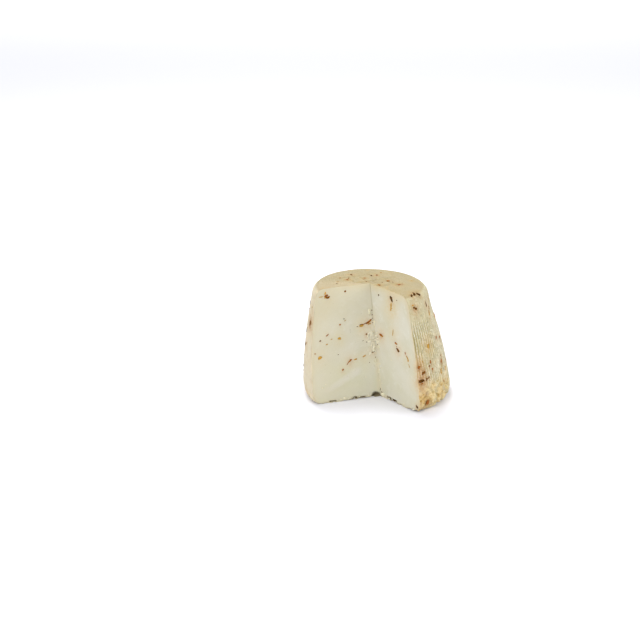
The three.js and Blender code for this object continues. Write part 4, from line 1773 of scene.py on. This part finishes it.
@dataclass(frozen=True)
class PasteFinish:
    """The cut inside: creamy white, matt, with knife lines, small pits and a warm skin. Painted shade darkens
    its hollows, pits, valley crease, torn gaps and the far upper part of the left cut; painted light lifts
    its lower part.

    Places are in millimetres, out from the valley and up from the foot. The wash is an oval stain.
    """

    name: str = "cut_paste"
    cream: Triple = (210, 206, 188)
    shade: Triple = (204, 200, 177)
    pale: Triple = (219, 216, 204)
    skin: Triple = (203, 184, 134)
    # A yellower tone for the lower cuts, lightened as painted light.
    damp: Triple = (210, 208, 178)
    brim: Triple = (212, 195, 156)
    fold: Triple = (214, 205, 174)
    # The tone of the painted shade in the valley's crease.
    crease: Triple = (160, 148, 112)
    # The tone of the painted shade in the carved hollows.
    cavity: Triple = (88, 70, 34)
    red_stain: Triple = (192, 136, 80)
    yellow_stain: Triple = (210, 184, 122)
    pit: Triple = (176, 168, 138)
    curd: Triple = (232, 227, 206)
    gap: Triple = (208, 198, 164)
    # The tone of the painted shade on the far and upper part of the left cut.
    far: Triple = (196, 188, 160)
    knife_slope: float = 0.45
    knife_line: float = 41.6
    knife_half: float = 5.0
    streak_grid: Pair = (0.42, 0.02)
    pit_cells: float = 330.0
    curd_cells: float = 480.0
    wash_middle: Pair = (59.0, 106.0)
    wash_half: Pair = (13.0, 18.0)
    radius: Triple = (0.004, 0.003, 0.0018)

    def make(self) -> bpy.types.Material:
        """Makes the material.

        Returns:
            The material.
        """
        tree = Shader(self.name)
        place = tree.place()
        out, up, side = tree.parts(tree.attribute("cut_map", "Vector"))
        mottle = tree.noise(place, 38, 4, 0.55)
        tree.ground(mottle.eased(0.36, 0.66), self.cream, self.shade)
        tree.coat(tree.noise(place, 150, 3, 0.6).eased(0.5, 0.75, 0, 0.55), self.pale)
        across = up + out * self.knife_slope
        along = out - up * self.knife_slope
        grid = {0: across * self.streak_grid[0], 1: along * self.streak_grid[1]}
        grid = tree.add("ShaderNodeCombineXYZ", grid)
        streak = tree.noise(grid, 1, 4, 0.6)
        tree.coat(streak.eased(0.5, 0.72, 0, 0.12), self.pale)
        tree.coat(streak.eased(0.5, 0.28, 0, 0.1), self.shade)
        # Low on the cuts, mostly the left one: a yellower tone of the paste's own, lightened as painted light
        # where less light reaches.
        lower = up.eased(52, 34) * mottle.eased(0.3, 0.6, 0.35)
        tree.coat(lower * side.eased(0, 1, 0.6, 0.12), self.damp)
        wander = (tree.noise(place, 70, 3, 0.6) - 0.5) * 5.0
        band = (across + wander - self.knife_line) * (1.0 / self.knife_half)
        band = (1.0 - (band * band).lowest(1)) * out.eased(16, 26) * out.eased(70, 54)
        band = band * tree.noise(place, 120, 3).eased(0.25, 0.5, 0.4) * side.eased(0, 1, 1, 0.2)
        tree.coat(band * 0.7, self.pale)
        tree.coat(up.eased(112, 125, 0, 0.45), self.brim)
        # Painted shade in small scattered pits.
        first, second, _ = tree.parts(tree.cells(place, self.pit_cells, "Color"))
        pits = tree.cells(place, self.pit_cells).eased(0.05, 0.24, 1, 0)
        pits = pits * first.eased(0.86, 0.9) * second.eased(0.1, 0.9) * tree.noise(place, 25).eased(0.4, 0.6)
        tree.coat(pits * 0.55, self.pit)
        edge = tree.attribute("edge") + (tree.noise(place, 220, 3) - 0.5) * 3.0
        tree.coat(edge.eased(7, 0.2, 0, 0.3), self.skin)
        tree.coat(edge.eased(1.6, 0.2, 0, 0.35), self.skin)
        ragged = tree.noise(place, 420, 4, 0.65).eased(0.3, 0.62, 0.35, 1.15)
        tree.coat(tree.attribute("yellow") * ragged * 0.65, self.yellow_stain)
        tree.coat(tree.attribute("red") * ragged * 0.75, self.red_stain)
        wide, high = (
            (value - middle) * (1.0 / half)
            for value, middle, half in zip((out, up), self.wash_middle, self.wash_half)
        )
        wash = (1.0 - (wide * wide + high * high).lowest(1)) * (1.0 - side)
        tree.coat(wash * ragged * 0.4, self.yellow_stain)
        tree.coat(out.eased(4.5, 1.5) * (up.eased(46, 40) * up.eased(4, 10)) * 0.6, self.fold)
        # Painted shade in the crease at the top of the valley.
        tree.coat(out.eased(1.1, 0.3) * up.eased(95, 99) * 0.45, self.crease)
        # Painted shade in the carved hollows, the bites and the lip under the valley's hollow.
        tree.coat(tree.attribute("hollow"), self.cavity)
        # The torn valley: paler granules, with painted shade in the gaps between them.
        tear = tree.attribute("tear") * tree.noise(place, 150, 3, 0.6).eased(0.36, 0.56, 0.2, 1.2)
        bent = place + (tree.noise(place, 300, 3, 0.6, 0.4, "Color") - GREY) * 0.004
        curd = tree.cells(bent * (1.0, 1.0, 0.7), self.curd_cells)
        tree.coat(tear * curd.eased(0.35, 0.1, 0, 0.8), self.curd)
        tree.coat(tear * curd.eased(0.35, 0.7, 0, 0.6), self.gap)
        # Painted shade: the left cut darkens away from the valley and towards its top, where the light on it
        # is stronger.
        far_shade = out.eased(12, 64, 0.12, 0.55) + up.eased(75, 112, 0, 0.38)
        tree.coat(far_shade * (1.0 - side), self.far)
        grain = tree.noise(place, 1500, 3, 0.6)
        crumble = tree.noise(place, 700, 3, 0.6)
        normal = tree.bump(grain * 0.5 + crumble * (0.2 + tear * 0.5) - pits * 1.2, 0.00035)
        normal = tree.bump(tear * (1.0 - curd), 0.0006, normal)
        normal = tree.bump(streak * 0.3 + band * 0.3, 0.0006, normal)
        looks = {"Roughness": grain.eased(0.3, 0.7, 0.5, 0.62), "Normal": normal, "Specular IOR Level": 0.35}
        return tree.close(looks, 0.12, self.radius)


@dataclass(frozen=True)
class RindFinish:
    """The outside: beige to olive, with olive-yellow grooves, wrinkles and a yellow-orange foot rim. Painted
    highlight and shade lie on the worn rim, and painted shade on the cap, the top of the side and the
    hollows.

    Heights are in metres and angles in radians, as the part's own frame has them.
    """

    name: str = "ribbed_rind"
    beige: Triple = (232, 226, 201)
    olive: Triple = (215, 208, 175)
    pale: Triple = (237, 233, 214)
    groove: Triple = (180, 160, 88)
    line: Triple = (156, 144, 104)
    # A darker olive for the top of the side: partly the rind's own tone, partly painted shade.
    dusk: Triple = (194, 184, 142)
    blush: Triple = (236, 190, 150)
    rim: Triple = (228, 197, 120)
    crest: Triple = (247, 229, 178)
    trough: Triple = (168, 134, 68)
    milky: Triple = (230, 217, 186)
    # The cap's olive tone, darkened as painted shade against the top lamp.
    top: Triple = (170, 150, 107)
    # The tone of the painted shade in the carved hollows.
    cavity: Triple = (74, 58, 24)
    red_stain: Triple = (150, 88, 36)
    yellow_stain: Triple = (206, 160, 80)
    radius: Triple = (0.003, 0.002, 0.001)

    def make(self) -> bpy.types.Material:
        """Makes the material.

        Returns:
            The material.
        """
        tree = Shader(self.name)
        place = tree.place()
        height = tree.parts(place)[2]
        flecks = tree.noise(place, 170, 4, 0.65, 0.8)
        tree.ground(tree.noise(place, 34, 4, 0.6, 0.4).eased(0.36, 0.62), self.beige, self.olive)
        tree.coat(flecks.eased(0.52, 0.72, 0, 0.75), self.pale)
        tree.coat((tree.attribute("groove") * 0.85).lowest(1), self.groove)
        tree.coat(tree.attribute("lattice") * 0.45, self.groove)
        fibre = tree.noise(place * (1.0, 1.0, 0.3), 620, 5, 0.65, 1.2)
        crease = tree.noise(place * (1.0, 1.0, 0.6), 260, 5, 0.6, 1.6)
        lines = 1.0 - ((crease - 0.5) * (crease - 0.5) * 160.0).lowest(1)
        tree.coat(lines * fibre.eased(0.4, 0.6) * 0.75, self.line)
        tree.coat(fibre.eased(0.46, 0.3, 0, 0.4), self.groove)
        # Towards the top of the side: darker and more olive, partly the rind's own tone and partly painted
        # shade.
        tree.coat(height.eased(0.086, 0.104, 0, 0.6), self.dusk)
        flank = tree.attribute("around").eased(-0.78, -0.9) * height.eased(0.074, 0.05)
        tree.coat(flank * 0.35, self.blush)
        young = tree.attribute("young")
        tree.coat(young * 0.86, self.milky)
        worn = tree.attribute("worn") * (1.0 - young * 0.7)
        worn = worn * tree.noise(place, 95, 4, 0.6).eased(0.34, 0.6, 0.25)
        tree.coat(worn * 0.75, self.rim)
        # The worn rim: painted highlight on its raised clods and painted shade in the low ones.
        chip = tree.parts(tree.cells(place + (fibre - 0.5) * 0.003, 250, "Color"))[0]
        clod_light_mask = tree.attribute("clod") + (chip - 0.5) * 0.22
        tree.coat(worn * clod_light_mask.eased(0.02, 0.1, 0, 0.9), self.crest)
        tree.coat(worn * clod_light_mask.eased(-0.04, -0.12, 0, 0.85), self.trough)
        # A painted highlight along the bottom of the worn foot.
        tree.coat(worn * height.eased(0.014, 0.003, 0, 0.35), self.crest)
        # The cap: its own olive tone, darkened as painted shade against the light of the top lamp.
        tree.coat(height.eased(0.122, 0.1242) * 0.62, self.top)
        ragged = tree.noise(place, 420, 4, 0.65).eased(0.3, 0.62, 0.3, 1.2)
        smear = tree.noise(place, 60, 3, 0.6, 0.5).eased(0.54, 0.7, 0, 0.35)
        tree.coat((tree.attribute("yellow") * 0.9).highest(smear) * ragged * 0.7, self.yellow_stain)
        tree.coat(tree.attribute("red") * ragged * 0.7, self.red_stain)
        # Painted shade in the carved hollows, the bites and the lip under the valley's hollow.
        tree.coat(tree.attribute("hollow"), self.cavity)
        normal = tree.bump(tree.noise(place, 1300, 4, 0.65) * 0.6 + fibre * 0.9, 0.0005)
        normal = tree.bump(crease - lines * 0.35, 0.0011, normal)
        looks = {"Roughness": flecks.eased(0.3, 0.7, 0.55, 0.72), "Normal": normal, "Specular IOR Level": 0.3}
        return tree.close(looks, 0.08, self.radius)


@dataclass(frozen=True)
class FlakeFinish:
    """Dried chilli, from nearly black through red-brown to orange, a little oily."""

    name: str = "chilli"
    stops: tuple[tuple[float, Triple], ...] = (
        (0.0, (60, 36, 3)),
        (0.26, (106, 68, 18)),
        (0.5, (154, 90, 42)),
        (0.72, (182, 144, 66)),
        (0.95, (194, 146, 66)),
    )

    def make(self) -> bpy.types.Material:
        """Makes the material.

        Returns:
            The material.
        """
        tree = Shader(self.name)
        place = tree.place()
        patch = tree.noise(place, 700, 3, 0.6)
        share = tree.attribute("tone") + (patch - 0.5) * 0.7
        stops = [(where, tint(tone)) for where, tone in self.stops]
        tree.colour = tree.add("ShaderNodeValToRGB", {"Fac": share}, stops=stops)
        normal = tree.bump(tree.noise(place, 2200, 3, 0.6), 0.0003)
        rough = patch.eased(0.3, 0.7, 0.6, 0.78)
        return tree.close({"Roughness": rough, "Normal": normal, "Specular IOR Level": 0.06})


@dataclass(frozen=True)
class CrumbFinish:
    """Loose and torn bits of the paste, a little whiter than the cut."""

    name: str = "crumb"
    cream: Triple = (246, 237, 210)
    shade: Triple = (224, 215, 184)
    radius: Triple = (0.004, 0.003, 0.0018)

    def make(self) -> bpy.types.Material:
        """Makes the material.

        Returns:
            The material.
        """
        tree = Shader(self.name)
        place = tree.place()
        mottle = tree.noise(place, 420, 4, 0.6) + tree.attribute("tone") * 0.6
        tree.ground(mottle.eased(0.6, 1.1), self.shade, self.cream)
        grain = tree.noise(place, 1600, 4, 0.65)
        looks = {"Roughness": grain.eased(0.3, 0.7, 0.5, 0.65), "Specular IOR Level": 0.25}
        return tree.close(looks | {"Normal": tree.bump(grain, 0.0003)}, 0.25, self.radius)


# The studio


@dataclass(frozen=True)
class Lamp:
    """A soft square light: its place and side in metres, its power in watts, its tone and its aim."""

    name: str
    place: Triple
    side: float
    power: float
    tone: Triple
    aim: Triple = (0.0, 0.0, 0.05)

    def hang(self) -> None:
        """Hangs the light."""
        data = bpy.data.lights.new(self.name, "AREA")
        data.size = self.side
        data.energy = self.power
        data.color = self.tone
        light = placed(self.name, data)
        light.location = self.place
        light.rotation_euler = (Vector(self.aim) - Vector(self.place)).to_track_quat("-Z", "Y").to_euler()


@dataclass(frozen=True)
class Studio:
    """A plain pale floor, soft light and the camera at the photograph's angle."""

    floor_half: float = 14.0
    floor_tone: Triple = (238, 238, 245)
    speckle_tone: Triple = (235, 235, 242)
    air_tone: Quad = (0.97, 0.985, 1.0, 1.0)
    air_strength: float = 0.64
    lamps: tuple[Lamp, ...] = (
        Lamp("key", (-0.9, -1.7, 1.8), 1.3, 25.5, (1.0, 0.99, 0.96)),
        Lamp("fill", (2.0, -0.4, 1.0), 1.6, 22.5, (0.99, 0.99, 0.97)),
        Lamp("top", (-0.35, 0.85, 1.9), 0.9, 22.0, (1.0, 1.0, 1.0)),
        Lamp("far", (0.0, 7.5, 4.0), 8.0, 290.0, (1.0, 1.0, 1.0), (0.0, 7.5, 0.0)),
    )
    target: Triple = (-0.0636, -0.0063, 0.0822)
    elevation: float = 20.0
    distance: float = 1.23
    lens: float = 62.9
    sensor: float = 36.0
    sight: float = 60.0

    def _floor(self) -> None:
        """Lays the floor."""
        mesh = bpy.data.meshes.new("floor")
        half = self.floor_half
        corners = [(-half, -half, 0), (half, -half, 0), (half, half, 0), (-half, half, 0)]
        mesh.from_pydata(corners, [], [(0, 1, 2, 3)])
        floor = placed("floor", mesh)
        tree = Shader("floor_paint")
        tree.ground(tree.noise(tree.place(), 4).eased(0.3, 0.7, 0, 0.1), self.floor_tone, self.speckle_tone)
        mesh.materials.append(tree.close({"Roughness": 0.9}))

    def _world(self) -> None:
        """Sets the even light from all round."""
        world = bpy.data.worlds.new("studio_air")
        bpy.context.scene.world = world
        world.use_nodes = True
        tree = Graph(world.node_tree)
        air = tree.add("ShaderNodeBackground", {"Color": self.air_tone, "Strength": self.air_strength})
        tree.add("ShaderNodeOutputWorld", {"Surface": air})

    def _camera(self) -> None:
        """Sets the camera."""
        data = bpy.data.cameras.new("camera")
        data.lens = self.lens
        data.sensor_width = self.sensor
        data.clip_end = self.sight
        camera = placed("camera", data)
        rise = math.radians(self.elevation)
        back = Vector((0.0, -math.cos(rise), math.sin(rise)))
        camera.location = Vector(self.target) + back * self.distance
        camera.rotation_euler = (math.radians(90.0 - self.elevation), 0.0, 0.0)
        bpy.context.scene.camera = camera

    def build(self) -> None:
        """Builds the studio."""
        self._floor()
        self._world()
        for lamp in self.lamps:
            lamp.hang()
        self._camera()
        bpy.context.scene.view_settings.view_transform = "Standard"


def main() -> None:
    """Builds the cheese, its flakes and crumbs, and the studio."""
    logging.basicConfig(level=logging.INFO, format="%(name)s: %(message)s", stream=sys.stdout)
    wheel = Round()
    notch = Notch(wheel)
    surveyor = Surveyor(wheel, notch)
    draws = Draws()
    tear = Tear(surveyor)
    crumbs = tear.lumps(draws, missing=False)
    pits = tear.lumps(draws, missing=True)
    flakes = FlakeMap(surveyor).flakes(draws)
    scoops = tear.pits(pits) + FootEdge(surveyor).scoops()
    paste = PasteFinish().make()
    rind = RindFinish().make()
    Body(wheel, notch).build(scoops, flakes, paste, rind)
    chips = Scatter(
        "chilli_flakes", round_shape=False, uneven=1.5, grain=420.0, sunk=0.22, slot="chilli_flake"
    )
    chips.build(flakes, wheel.place, FlakeFinish().make())
    bits = Scatter("torn_crumbs", round_shape=True, uneven=2.6, grain=640.0, sunk=0.0, slot="cheese")
    bits.build(Crumbs(surveyor).spots(crumbs), wheel.place, CrumbFinish().make())
    Studio().build()


if __name__ == "__main__":
    main()
